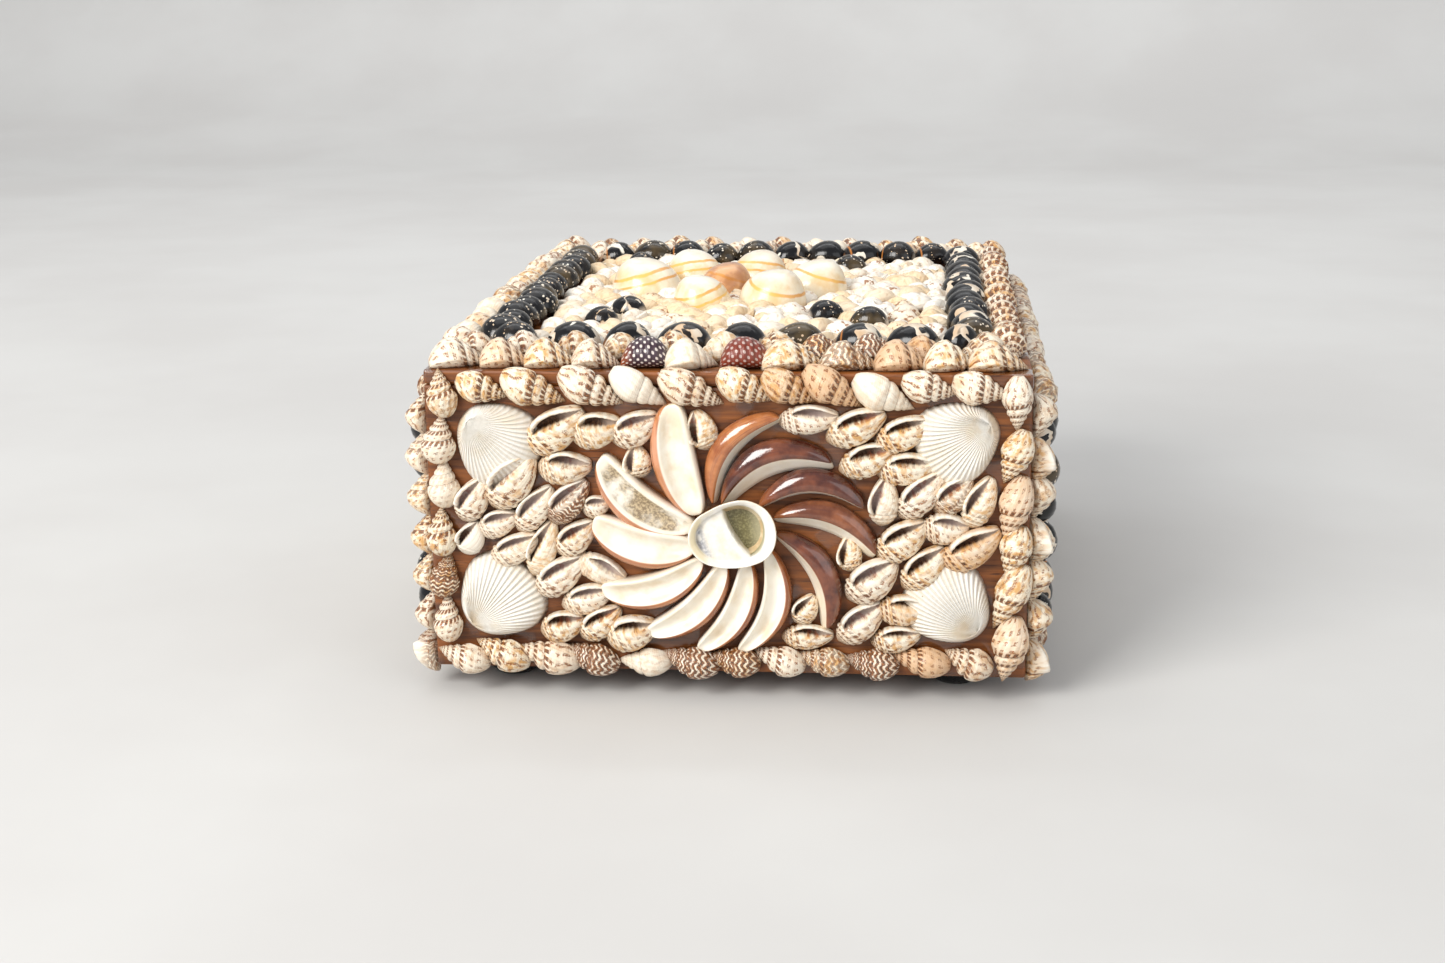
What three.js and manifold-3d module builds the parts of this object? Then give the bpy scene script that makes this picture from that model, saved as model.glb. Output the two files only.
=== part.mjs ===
// Shell box: a small wooden box with a lift-off lid, every outer face set with sea shells.
// Millimetres, Z up. The front face looks to -Y. The origin is the centre of the footprint, at the feet.
import * as THREE from "three";
import { mergeVertices } from "three/addons/utils/BufferGeometryUtils.js";
import Module from "manifold-3d";

const wasm = await Module();
wasm.setup();

// Wooden box
const WOOD_WIDTH = 140;
const WOOD_DEPTH = 176;
const BODY_HEIGHT = 69;
const LID_THICKNESS = 3.5;
const WALL = 5;
const FLOOR_THICKNESS = 4;
const LID_STEP_HEIGHT = 2.5;
const LID_STEP_CLEARANCE = 0.5;

// Feet
const FOOT_HEIGHT = 6;
const FOOT_RADIUS = 7;
const FOOT_FLAT_RADIUS = 4.5;
const FOOT_INSET_X = 16;
const FOOT_INSET_Y = 16;

// Fit between pieces and the bed of glue under the shells
const GAP = 0.1;
const BED = 0.6;
const SHELL_SINK = 0.25;
const CLEARANCE = 0.25;

// Heights of the shells over the wood
const WHELK_HEIGHT = 6.6;
const BELLY_HEIGHT = 5.4;
const FILLER_HEIGHT = 4.2;
const NERITE_HEIGHT = 8.6;
const COCKLE_HEIGHT = 5;
const SLICE_HEIGHT = 4.6;
const HUB_RIM = 7.6;
const HUB_FLOOR = 4;
const LID_DOME_HEIGHT = 11;
const SIDE_DOME_HEIGHT = 8.6;

const BODY_BASE = FOOT_HEIGHT;
const LID_TOP = FOOT_HEIGHT + BODY_HEIGHT + LID_THICKNESS;
const HALF_W = WOOD_WIDTH / 2;
const HALF_D = WOOD_DEPTH / 2;

// Material slots
const WOOD = { color: 0x7a4526, roughness: 0.45, metalness: 0 };
const RUBBER = { color: 0x111111, roughness: 0.5, metalness: 0 };
const WHELK = { color: 0xe6d6bd, roughness: 0.4, metalness: 0 };
const NERITE = { color: 0x1d1b1c, roughness: 0.2, metalness: 0 };
const WHITE_SHELL = { color: 0xf0ebe2, roughness: 0.5, metalness: 0 };
const COWRIE = { color: 0xb98466, roughness: 0.25, metalness: 0 };
const MOON = { color: 0xead9bd, roughness: 0.25, metalness: 0 };

// The faces of the box: where local u (right), v (up) and n (out of the wood) lie
const FACES = {
  front: face([1, 0, 0], [0, 0, 1], [0, -HALF_D, BODY_BASE]),
  back: face([-1, 0, 0], [0, 0, 1], [0, HALF_D, BODY_BASE]),
  left: face([0, -1, 0], [0, 0, 1], [-HALF_W, 0, BODY_BASE]),
  right: face([0, 1, 0], [0, 0, 1], [HALF_W, 0, BODY_BASE]),
  lid: face([1, 0, 0], [0, 1, 0], [0, 0, LID_TOP]),
};

function face(u, v, origin) {
  const U = new THREE.Vector3(...u);
  const V = new THREE.Vector3(...v);
  const N = new THREE.Vector3().crossVectors(U, V);
  return new THREE.Matrix4().makeBasis(U, V, N).setPosition(...origin);
}

// Solids
function solidOf(geometry) {
  const bare = geometry.clone();
  bare.deleteAttribute("normal");
  bare.deleteAttribute("uv");
  const merged = mergeVertices(bare, 1e-4);
  const solid = new wasm.Manifold(
    new wasm.Mesh({
      numProp: 3,
      vertProperties: merged.attributes.position.array,
      triVerts: new Uint32Array(merged.index.array),
    }),
  );
  return solid;
}

function geometryOf(solid) {
  const mesh = solid.getMesh();
  const points = new Float32Array(mesh.numVert * 3);
  for (let i = 0; i < mesh.numVert; i++) {
    const at = i * mesh.numProp;
    points.set(mesh.vertProperties.subarray(at, at + 3), i * 3);
  }
  const geometry = new THREE.BufferGeometry();
  geometry.setAttribute("position", new THREE.BufferAttribute(points, 3));
  geometry.setIndex(new THREE.BufferAttribute(new Uint32Array(mesh.triVerts), 1));
  return geometry;
}

function sum(solids) {
  return solids.reduce((whole, solid) => whole.add(solid));
}

// A closed skin over rings of equal length, with a point at each end that is given
function skin(rings, start, end) {
  const points = [];
  const faces = [];
  const size = rings[0].length;
  rings.forEach((ring) => points.push(...ring));
  for (let r = 0; r < rings.length - 1; r++) {
    for (let i = 0; i < size; i++) {
      const a = r * size + i;
      const b = r * size + ((i + 1) % size);
      faces.push([a, b, b + size], [a, b + size, a + size]);
    }
  }
  closeEnd(points, faces, 0, size, start, true);
  closeEnd(points, faces, (rings.length - 1) * size, size, end, false);
  const geometry = new THREE.BufferGeometry();
  geometry.setAttribute("position", new THREE.Float32BufferAttribute(points.flat(), 3));
  geometry.setIndex(faces.flat());
  return geometry;
}

function closeEnd(points, faces, first, size, tip, atStart) {
  if (tip) {
    points.push(tip);
  }
  const apex = points.length - 1;
  for (let i = 0; i < size; i++) {
    const a = first + i;
    const b = first + ((i + 1) % size);
    if (tip) {
      faces.push(atStart ? [b, a, apex] : [a, b, apex]);
    } else if (i > 0 && i < size - 1) {
      faces.push(atStart ? [first, b, a] : [first, a, b]);
    }
  }
}

// One shell lying along local x: stations give place, width and height along it
const WHELK_KIND = {
  form: [
    [-0.3, 0.76, 0.76],
    [0.04, 1, 1],
  ],
  height: WHELK_HEIGHT,
  flat: 0.5,
};
const BELLY_KIND = {
  form: [[0.04, 1, 1]],
  height: BELLY_HEIGHT,
  flat: 0.5,
};
const FILLER_KIND = { form: [[0, 1, 1]], height: FILLER_HEIGHT, flat: 0 };
const END_HEIGHT = 0.34;

function shell({ form, height, flat }, at, grow = 0) {
  const [u, v, length, width, turn] = at;
  const reach = length / 2 + grow;
  const rings = form.map(([x, w, h]) => {
    const half = (w * width) / 2 + grow;
    const top = h * height + grow;
    const low = grow ? 0 : SHELL_SINK;
    const along = x * length;
    const crown = half * flat;
    const left = [along, crown, top];
    const right = [along, -crown, top];
    return [[along, half, low], ...(flat ? [left, right] : [left]), [along, -half, low]];
  });
  const tipHeight = END_HEIGHT * height;
  const geometry = skin(rings, [-reach, 0, tipHeight], [reach, 0, tipHeight]);
  geometry.rotateZ(THREE.MathUtils.degToRad(turn));
  geometry.translate(u, v, 0);
  return geometry;
}

// A thin bed of glue with a straight-edged outline
function bed(outline) {
  const shape = new THREE.Shape(outline.map(([u, v]) => new THREE.Vector2(u, v)));
  const geometry = new THREE.ExtrudeGeometry(shape, { depth: BED, bevelEnabled: false });
  geometry.translate(0, 0, GAP);
  return geometry;
}

function strip(u0, v0, u1, v1) {
  return [
    [u0, v0],
    [u1, v0],
    [u1, v1],
    [u0, v1],
  ];
}

// A low round dome, such as a moon shell
function dome(u, v, radiusU, radiusV, height, turn, sides, grow = 0) {
  const rings = [
    [1, 0],
    [0.88, 0.55],
    [0.5, 0.9],
  ].map(([r, h]) => {
    const ring = [];
    for (let i = 0; i < sides; i++) {
      const angle = (2 * Math.PI * i) / sides;
      const x = Math.cos(angle) * (radiusU * r + grow);
      const y = Math.sin(angle) * (radiusV * r + grow);
      ring.push([x, y, GAP + h * (height - GAP) + (h ? grow : 0)]);
    }
    return ring;
  });
  const geometry = skin(rings, null, [0, 0, height + grow]);
  geometry.rotateZ(THREE.MathUtils.degToRad(turn));
  geometry.translate(u, v, 0);
  return geometry;
}

// A cockle valve: a fan round its beak, which points along turn
const COCKLE_SIDES = 11;
function cockle(u, v, length, width, turn, grow = 0) {
  const outline = (r, height) => {
    const ring = [];
    for (let i = 0; i < COCKLE_SIDES; i++) {
      const angle = (2 * Math.PI * i) / COCKLE_SIDES;
      const beak = Math.max(0, Math.cos(angle));
      const x = Math.cos(angle) * (length / 2) * r + (1 - r) * length * 0.12;
      const y = Math.sin(angle) * (width / 2) * r * (1 - 0.22 * beak);
      const spread = 1 + grow / Math.max(1, Math.hypot(x, y));
      ring.push([x * spread, y * spread, height]);
    }
    return ring;
  };
  const rings = [
    outline(1, GAP),
    outline(0.86, COCKLE_HEIGHT * 0.62 + grow),
    outline(0.5, COCKLE_HEIGHT * 0.94 + grow),
  ];
  const geometry = skin(rings, null, [length * 0.12, 0, COCKLE_HEIGHT + grow]);
  geometry.rotateZ(THREE.MathUtils.degToRad(turn));
  geometry.translate(u, v, 0);
  return geometry;
}

// A cut cowrie slice from its inner end to its outer end, bowed to the left of that line
const SLICE_STATIONS = [0.1, 0.35, 0.65, 0.92];
const PLAIN_STATIONS = [0.22, 0.74];
function slice([u0, v0, u1, v1, outer, inner], grow = 0, stations = SLICE_STATIONS) {
  const length = Math.hypot(u1 - u0, v1 - v0);
  const along = [(u1 - u0) / length, (v1 - v0) / length];
  const left = [-along[1], along[0]];
  const place = (s, across, height) => [
    u0 + along[0] * s * length + left[0] * across,
    v0 + along[1] * s * length + left[1] * across,
    height,
  ];
  const rings = stations.map((s) => {
    const bow = Math.pow(4 * s * (1 - s), 0.62);
    const near = inner * 4 * s * (1 - s) - 0.6 - grow;
    const far = outer * bow + 0.6 + grow;
    const top = SLICE_HEIGHT * (0.55 + 0.45 * bow) + grow;
    const low = grow ? 0 : GAP;
    return [
      place(s, far, low),
      place(s, far - 1.2, top * 0.86),
      place(s, near + 0.8, top),
      place(s, near, low),
    ];
  });
  const stretch = grow / length;
  return skin(rings, place(-stretch, 0, GAP + 1), place(1 + stretch, 0, GAP + 1));
}

// The slipper shell at the hub, rim outward, with its hollow
const HUB = { u: 1.6, v: 35, length: 21, width: 16, turn: 17 };
const HUB_SIDES = 12;
function hub(at, grow = 0) {
  const oval = (r, shift, height) => {
    const ring = [];
    for (let i = 0; i < HUB_SIDES; i++) {
      const angle = (2 * Math.PI * i) / HUB_SIDES;
      const narrow = 1 - 0.12 * Math.max(0, -Math.cos(angle));
      const x = Math.cos(angle) * (at.length / 2) * r + shift;
      const y = Math.sin(angle) * (at.width / 2) * r * narrow;
      const spread = 1 + grow / Math.max(1, Math.hypot(x, y));
      ring.push([x * spread, y * spread, height]);
    }
    return ring;
  };
  const outside = [oval(0.42, -1, grow ? 0 : GAP), oval(1, 0, HUB_RIM - 1.2 - grow), oval(0.97, 0, HUB_RIM + grow)];
  const hollow = [oval(0.86, 0, HUB_RIM), oval(0.62, 1.2, HUB_FLOOR)];
  const rings = grow ? outside : outside.concat(hollow);
  const geometry = skin(rings, null, null);
  geometry.rotateZ(THREE.MathUtils.degToRad(at.turn));
  geometry.translate(at.u, at.v, 0);
  return geometry;
}

// Front face: place u, v of each shell over the lower left wood edge, length, width, turn of its spire
const FRONT_TOP = [
  [-56, 68.5, 12.2, 7.5, -13],
  [-44, 68.5, 15, 8.6, -17],
  [-30.5, 68.7, 15.5, 8.6, -21],
  [-19.5, 68.8, 14.4, 7.9, -26],
  [-7.4, 68.6, 15.4, 8.4, -19],
  [5, 69.3, 14, 8.2, -20],
  [15, 69.1, 14, 8, -21],
  [25, 69.2, 15, 8.4, -28],
  [36.4, 67.9, 15, 8.3, -21],
  [46.7, 69.6, 12.6, 7.6, -9],
  [57.4, 69.4, 12, 8, -9],
];
const FRONT_LEFT = [
  [-65.6, 67.2, 11.5, 7.2, 98],
  [-66.9, 56.2, 11.6, 8.2, 83],
  [-65.9, 45.7, 11.6, 8, 90],
  [-67.5, 33.9, 12, 7.6, 90],
  [-67, 23.2, 11.2, 7.4, 77],
  [-66.7, 12.5, 11.6, 7, 90],
];
const FRONT_RIGHT = [
  [66.8, 65.9, 13, 7, -90],
  [66.4, 53.5, 13.5, 7.6, -108],
  [66.3, 41.2, 15.5, 7.9, -105],
  [66.9, 31.1, 13, 7.8, -105],
  [65.9, 20.2, 16.5, 8.2, -112],
  [66.2, 7.6, 16, 8.4, -100],
];
const FRONT_BOTTOM = [
  [-63.1, 2.7, 12.6, 7.3, 165],
  [-53.2, 4.2, 13.6, 8, 157],
  [-42.5, 3.6, 15.4, 8.4, 168],
  [-32, 3.4, 13.8, 7.7, 159],
  [-20, 2.4, 13, 7, 180],
  [-8.8, 2.9, 14, 7.8, 165],
  [1.6, 3.2, 13, 7.5, 170],
  [12.4, 3.8, 13, 7.5, 162],
  [22.6, 3.7, 13, 7, 168],
  [34, 3.4, 13.3, 7.8, 172],
  [45.4, 4.2, 13.6, 7.5, 170],
  [55.6, 4.3, 11, 7.6, 160],
];
const FIELD_SHARE = 0.86;
const ROW_SHARE = 0.93;
const FIELD_LEFT = [
  [-39.4, 58.6, 15, 9.2, 35],
  [-29.8, 58.6, 11.5, 8, 15],
  [-21.5, 58.6, 11, 7.6, 30],
  [-37.4, 50, 12, 8, 5],
  [-49.6, 45, 13.4, 9, 52],
  [-58.6, 41.2, 10, 7.2, 63],
  [-53.6, 36.1, 9.4, 6.3, 25],
  [-44.7, 39.6, 12, 7, 53],
  [-36.8, 41.6, 12, 7.3, 50],
  [-30.3, 41.2, 6, 5, 20],
  [-59.3, 32.3, 8, 6.3, 65],
  [-49.9, 29.9, 11, 6.6, 30],
  [-42.6, 30.7, 12.4, 6.3, 70],
  [-35.3, 32.8, 10, 6.8, 42],
  [-38.6, 23.6, 12.8, 7.7, 39],
  [-31.2, 26, 9, 6, -23],
  [-34, 17.6, 10.6, 6.8, 21],
  [-38.4, 12, 9.6, 7, 20],
  [-30.6, 11.6, 9.6, 6.4, 39],
  [-23.4, 10.4, 9.8, 7.2, 18],
];
const FIELD_RIGHT = [
  [19, 61.4, 11, 6.2, 5],
  [29.6, 60, 13, 7.6, 27],
  [40, 59, 12, 7.2, 26],
  [33, 52.9, 11.8, 7.2, 24],
  [41.2, 50.8, 11, 7.2, 9],
  [44.6, 43.6, 12.2, 7.2, 48],
  [37.2, 42.6, 10, 6.6, 85],
  [52.3, 43.2, 9.6, 6.6, 48],
  [58.2, 42, 11, 6.8, 67],
  [50.2, 36.6, 9.6, 7, 3],
  [41.2, 33.6, 12, 7.8, 38],
  [56, 31.8, 13, 7.8, 35],
  [46.2, 26.9, 11.8, 7.5, 47],
  [34.6, 23.9, 12.6, 8.2, 41],
  [40.6, 17, 10.4, 7, 3],
  [32.4, 13.4, 11.6, 7.2, 43],
  [39, 9.9, 9.6, 5.6, 12],
  [31, 31, 6.4, 5, 95],
];
const FIELD_LEFT_BED = [
  [-63, 46],
  [-63, 29.5],
  [-42.4, 29.5],
  [-41.6, 9],
  [-20, 9],
  [-28, 15],
  [-30.5, 26],
  [-31, 44],
  [-18.5, 55.5],
  [-18.5, 62],
  [-42, 62],
  [-42, 46],
];
const FIELD_RIGHT_BED = [
  [28.6, 9],
  [43, 9],
  [44, 29],
  [62, 29],
  [62, 47.8],
  [44.4, 47.8],
  [44, 62.6],
  [15.2, 62.6],
  [16, 59.8],
  [27.6, 55.2],
  [33, 45],
  [30, 30],
  [28, 20],
];
const COCKLES = [
  ["cockle_top_left", -52.8, 55.4, 20, 20.2, 136],
  ["cockle_bottom_left", -53.4, 18.2, 20.4, 21, 225],
  ["cockle_top_right", 53.2, 57, 19.8, 19.4, 32],
  ["cockle_bottom_right", 51.8, 18.2, 20.4, 20, -43],
];
const SLICES = [
  [-6.6, 39.2, -12.3, 65, 6.8, -2.5],
  [-7.3, 35.7, -29, 52.2, 8.2, -0.9],
  [-6.7, 31.2, -30.9, 36.8, 7.4, -1.7],
  [-5.2, 27.8, -29, 20.3, 7.3, -0.2],
  [0.2, 27.3, -18.1, 9.9, 6.8, 0],
  [5.3, 28.6, -5.9, 6.9, 6.7, 0.7],
  [10.1, 31.3, 3.8, 6.9, 7.9, 2.1],
  [12, 35.1, 24, 12.6, 7.8, 2.1],
  [11.3, 38.9, 35, 30.5, 7.5, 1.3],
  [7.8, 41.6, 32.1, 42.2, 8.2, 3.1],
  [-0.7, 41.9, 24.6, 52.2, 9.6, 2.3],
  [-2.8, 42.1, 12.5, 62.8, 7.8, 2.7],
];

// A straight run of shells along a border, one or two abreast, as one beaded strip
const NECK = 0.58;
function beads(u0, v0, u1, v1, count, abreast, width, height, grow = 0) {
  const length = Math.hypot(u1 - u0, v1 - v0) + 2 * grow;
  const stations = 2 * count;
  const half = width / 2 + grow;
  const rings = [];
  for (let i = 0; i <= stations; i++) {
    const along = (i / stations - 0.5) * length;
    const low = grow ? 0 : GAP;
    const top = (ridge) => height * ((i + ridge) % 2 ? 1 : NECK) + grow;
    const lean = 0.12 * width * Math.sin(2.4 * i);
    const crown =
      abreast === 1
        ? [[along, grow ? 0 : lean, top(0)]]
        : [
            [along, half * 0.52, top(0)],
            [along, 0, height * 0.4 + grow],
            [along, -half * 0.52, top(1)],
          ];
    rings.push([[along, half, low], ...crown, [along, -half, low]]);
  }
  const geometry = skin(rings, null, null);
  geometry.rotateZ(Math.atan2(v1 - v0, u1 - u0));
  geometry.translate((u0 + u1) / 2, (v0 + v1) / 2, 0);
  return geometry;
}

// Four beaded strips round a rectangle, the upright ones between the level ones
function frame(halfU, low, high, width, height, levelCount, uprightCount) {
  const half = width / 2;
  const lap = 0.4;
  return [
    beads(-halfU, low + half, halfU, low + half, levelCount, 1, width, height),
    beads(-halfU, high - half, halfU, high - half, levelCount, 1, width, height),
    beads(-halfU + half, low + width - lap, -halfU + half, high - width + lap, uprightCount, 1, width, height),
    beads(halfU - half, low + width - lap, halfU - half, high - width + lap, uprightCount, 1, width, height),
  ].map(solidOf);
}

// A field of small shells on a grid inside a rectangle, leaving out what falls on a dome
function field(u0, v0, u1, v1, columns, rows, domes) {
  const shells = [];
  for (let i = 0; i < columns; i++) {
    for (let j = 0; j < rows; j++) {
      const u = u0 + ((u1 - u0) * (i + 0.5)) / columns + 0.8 * Math.sin(3 * i + 5 * j);
      const v = v0 + ((v1 - v0) * (j + 0.5)) / rows + 0.8 * Math.cos(4 * i + 2 * j);
      const clear = domes.every(([du, dv, r]) => Math.hypot(u - du, v - dv) > r + 4.6);
      if (clear) {
        shells.push([u, v, 8.6, 6.4, (67 * i + 101 * j) % 360]);
      }
    }
  }
  return shells;
}

const nodes = [];
function addNode(name, geometry, material, matrix) {
  if (matrix) {
    geometry.applyMatrix4(matrix);
  }
  nodes.push({ name, geometry, material });
}

// Fuses solids into one piece, cut clear of the pieces listed in clearOf
function fuse(name, faceName, material, solids, clearOf = []) {
  let whole = sum(solids);
  clearOf.forEach((cutter) => {
    whole = whole.subtract(cutter);
  });
  const largest = whole.decompose().sort((a, b) => b.volume() - a.volume())[0];
  addNode(name, geometryOf(largest), material, FACES[faceName]);
}

// Shells on their bed of glue
function bedded(kind, shells, beds) {
  const solids = beds.map((outline) => solidOf(bed(outline)));
  shells.forEach((at) => solids.push(solidOf(shell(kind, at))));
  return solids;
}

function cutters(kind, shells) {
  return shells.map((at) => solidOf(shell(kind, at, CLEARANCE)));
}

// Wood
function board(x, y, z, cx, cy, cz) {
  return new THREE.BoxGeometry(x, y, z).translate(cx, cy, cz);
}
const SIDE_LENGTH = WOOD_DEPTH - 2 * WALL - 2 * GAP;
const WALL_HEIGHT = BODY_HEIGHT - GAP;
const WALL_MIDDLE = BODY_BASE + WALL_HEIGHT / 2;
addNode(
  "floor_board",
  board(
    WOOD_WIDTH - 2 * WALL - 2 * GAP,
    SIDE_LENGTH,
    FLOOR_THICKNESS,
    0,
    0,
    BODY_BASE + FLOOR_THICKNESS / 2,
  ),
  WOOD,
);
addNode("front_board", board(WOOD_WIDTH, WALL, WALL_HEIGHT, 0, -HALF_D + WALL / 2, WALL_MIDDLE), WOOD);
addNode("back_board", board(WOOD_WIDTH, WALL, WALL_HEIGHT, 0, HALF_D - WALL / 2, WALL_MIDDLE), WOOD);
addNode("left_board", board(WALL, SIDE_LENGTH, WALL_HEIGHT, -HALF_W + WALL / 2, 0, WALL_MIDDLE), WOOD);
addNode("right_board", board(WALL, SIDE_LENGTH, WALL_HEIGHT, HALF_W - WALL / 2, 0, WALL_MIDDLE), WOOD);

// The lid board has a step under it that drops between the walls
const stepWidth = WOOD_WIDTH - 2 * WALL - 2 * LID_STEP_CLEARANCE;
const stepDepth = WOOD_DEPTH - 2 * WALL - 2 * LID_STEP_CLEARANCE;
const lidPlate = board(WOOD_WIDTH, WOOD_DEPTH, LID_THICKNESS, 0, 0, LID_TOP - LID_THICKNESS / 2);
const stepReach = LID_STEP_HEIGHT + 1;
const lidStep = board(
  stepWidth,
  stepDepth,
  stepReach,
  0,
  0,
  LID_TOP - LID_THICKNESS + 1 - stepReach / 2,
);
addNode("lid_board", geometryOf(sum([solidOf(lidPlate), solidOf(lidStep)])), WOOD);

// Feet: low domes with a flat sole
const FOOT_PROFILE = [
  [0, 0],
  [FOOT_FLAT_RADIUS, 0],
  [FOOT_RADIUS - 0.8, 1.6],
  [FOOT_RADIUS, 4],
  [FOOT_RADIUS, FOOT_HEIGHT - GAP],
  [0, FOOT_HEIGHT - GAP],
];
const FOOT_SIDES = 10;
for (const [name, sx, sy] of [
  ["foot_front_left", -1, -1],
  ["foot_front_right", 1, -1],
  ["foot_back_left", -1, 1],
  ["foot_back_right", 1, 1],
]) {
  const profile = FOOT_PROFILE.map(([r, z]) => new THREE.Vector2(r, z));
  const foot = new THREE.LatheGeometry(profile, FOOT_SIDES);
  foot.rotateX(Math.PI / 2);
  foot.translate(sx * (HALF_W - FOOT_INSET_X), sy * (HALF_D - FOOT_INSET_Y), 0);
  addNode(name, geometryOf(solidOf(foot)), RUBBER);
}

// Front face
const scaled = (share) => ([u, v, length, width, turn]) => [u, v, length * share, width * share, turn];
const rowLeft = FRONT_LEFT.map(scaled(ROW_SHARE));
const rowRight = FRONT_RIGHT.map(scaled(ROW_SHARE));
const rowTop = FRONT_TOP.map(scaled(ROW_SHARE));
const rowBottom = FRONT_BOTTOM.map(scaled(ROW_SHARE));
const hubCutter = solidOf(hub(HUB, CLEARANCE));
const cockleCutters = [];
for (const [name, u, v, length, width, turn] of COCKLES) {
  addNode(name, cockle(u, v, length, width, turn), WHITE_SHELL, FACES.front);
  cockleCutters.push(solidOf(cockle(u, v, length, width, turn, CLEARANCE)));
}
addNode("hub_slipper_shell", hub(HUB), WHITE_SHELL, FACES.front);
const sliceCutters = [];
SLICES.forEach((at, i) => {
  let solid = solidOf(slice(at)).subtract(hubCutter);
  sliceCutters.forEach((cutter) => {
    solid = solid.subtract(cutter);
  });
  const largest = solid.decompose().sort((a, b) => b.volume() - a.volume())[0];
  addNode("cowrie_slice_" + (i + 1), geometryOf(largest), COWRIE, FACES.front);
  sliceCutters.push(solidOf(slice(at, CLEARANCE)));
});
const pinwheel = sliceCutters.concat(cockleCutters);
const columns = cutters(WHELK_KIND, rowLeft.concat(rowRight));
const topAndBottom = cutters(WHELK_KIND, rowTop.concat(rowBottom));
const bedTop = strip(-61.6, 66, 62.6, 71);
const bedBottom = strip(-62.6, 0.6, 61.2, 6);
const bedLeft = strip(-69, 8.6, -64.4, 72);
const bedRight = strip(64.4, 1, 69, 71);
const bedCutters = [bedTop, bedBottom, bedLeft, bedRight].map((outline) => {
  const [u0, v0] = outline[0];
  const [u1, v1] = outline[2];
  return solidOf(
    board(u1 - u0 + 2 * CLEARANCE, v1 - v0 + 2 * CLEARANCE, 2, (u0 + u1) / 2, (v0 + v1) / 2, 0),
  );
});
fuse("front_row_left", "front", WHELK, bedded(WHELK_KIND, rowLeft, [bedLeft]), cockleCutters);
fuse("front_row_right", "front", WHELK, bedded(WHELK_KIND, rowRight, [bedRight]), cockleCutters);
const besideColumns = columns.concat(bedCutters.slice(2), pinwheel);
fuse("front_row_top", "front", WHELK, bedded(WHELK_KIND, rowTop, [bedTop]), besideColumns);
fuse("front_row_bottom", "front", WHELK, bedded(WHELK_KIND, rowBottom, [bedBottom]), besideColumns);
const besideField = pinwheel.concat(columns, topAndBottom, bedCutters);
fuse(
  "front_field_left",
  "front",
  WHELK,
  bedded(BELLY_KIND, FIELD_LEFT.map(scaled(FIELD_SHARE)), [FIELD_LEFT_BED]),
  besideField,
);
fuse(
  "front_field_right",
  "front",
  WHELK,
  bedded(BELLY_KIND, FIELD_RIGHT.map(scaled(FIELD_SHARE)), [FIELD_RIGHT_BED]),
  besideField,
);

// Lid: moon shells in a rosette
const DOMES = [
  ["lid_moon_centre", -9, 10, 7.8, 7.4],
  ["lid_moon_1", -30.5, 11, 10, 9.4],
  ["lid_moon_2", -13, -11, 7.9, 7.6],
  ["lid_moon_3", 5, -5, 9.4, 8.8],
  ["lid_moon_4", 15.6, 12.2, 8.9, 8.4],
  ["lid_moon_5", -1.2, 29.2, 8.6, 8.2],
  ["lid_moon_6", -19.6, 29.6, 8.7, 8.3],
];
DOMES.forEach(([name, u, v, radiusU, radiusV], i) => {
  addNode(name, dome(u, v, radiusU, radiusV, LID_DOME_HEIGHT, 50 * i, 10), MOON, FACES.lid);
});

// Lid: small shells along each edge, two rows at the front and back, and nerite shells inside them
const LID_U = HALF_W - 0.4;
const LID_V = HALF_D - 0.4;
const DOUBLE = 15.6;
const NERITE_WIDTH = 8.8;
const STRIP_GAP = 0.3;
const SINGLE = 8.8;
const outerU = LID_U - SINGLE / 2;
const outerV = LID_V - DOUBLE / 2;
const outerEnd = LID_V - DOUBLE - STRIP_GAP;
const nextU = LID_U - SINGLE - STRIP_GAP;
const nextV = LID_V - DOUBLE - STRIP_GAP;
const innerU = nextU - NERITE_WIDTH / 2;
const innerV = nextV - NERITE_WIDTH / 2;
const innerEnd = nextV - NERITE_WIDTH - STRIP_GAP;
const LID_STRIPS = [
  ["lid_border_front", -LID_U, -outerV, LID_U, -outerV, 12, 2, DOUBLE],
  ["lid_border_back", LID_U, outerV, -LID_U, outerV, 12, 2, DOUBLE],
  ["lid_border_left", -outerU, -outerEnd, -outerU, outerEnd, 12, 1, SINGLE],
  ["lid_border_right", outerU, outerEnd, outerU, -outerEnd, 12, 1, SINGLE],
  ["lid_nerites_front", -nextU, -innerV, nextU, -innerV, 9, 1, NERITE_WIDTH],
  ["lid_nerites_back", -nextU, innerV, nextU, innerV, 9, 1, NERITE_WIDTH],
  ["lid_nerites_left", -innerU, -innerEnd, -innerU, innerEnd, 10, 1, NERITE_WIDTH],
  ["lid_nerites_right", innerU, -innerEnd, innerU, innerEnd, 10, 1, NERITE_WIDTH],
];
for (const [name, u0, v0, u1, v1, count, abreast, width] of LID_STRIPS) {
  const isNerite = name.startsWith("lid_nerites");
  const height = isNerite ? NERITE_HEIGHT : WHELK_HEIGHT;
  const material = isNerite ? NERITE : WHELK;
  addNode(name, beads(u0, v0, u1, v1, count, abreast, width, height), material, FACES.lid);
}

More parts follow.
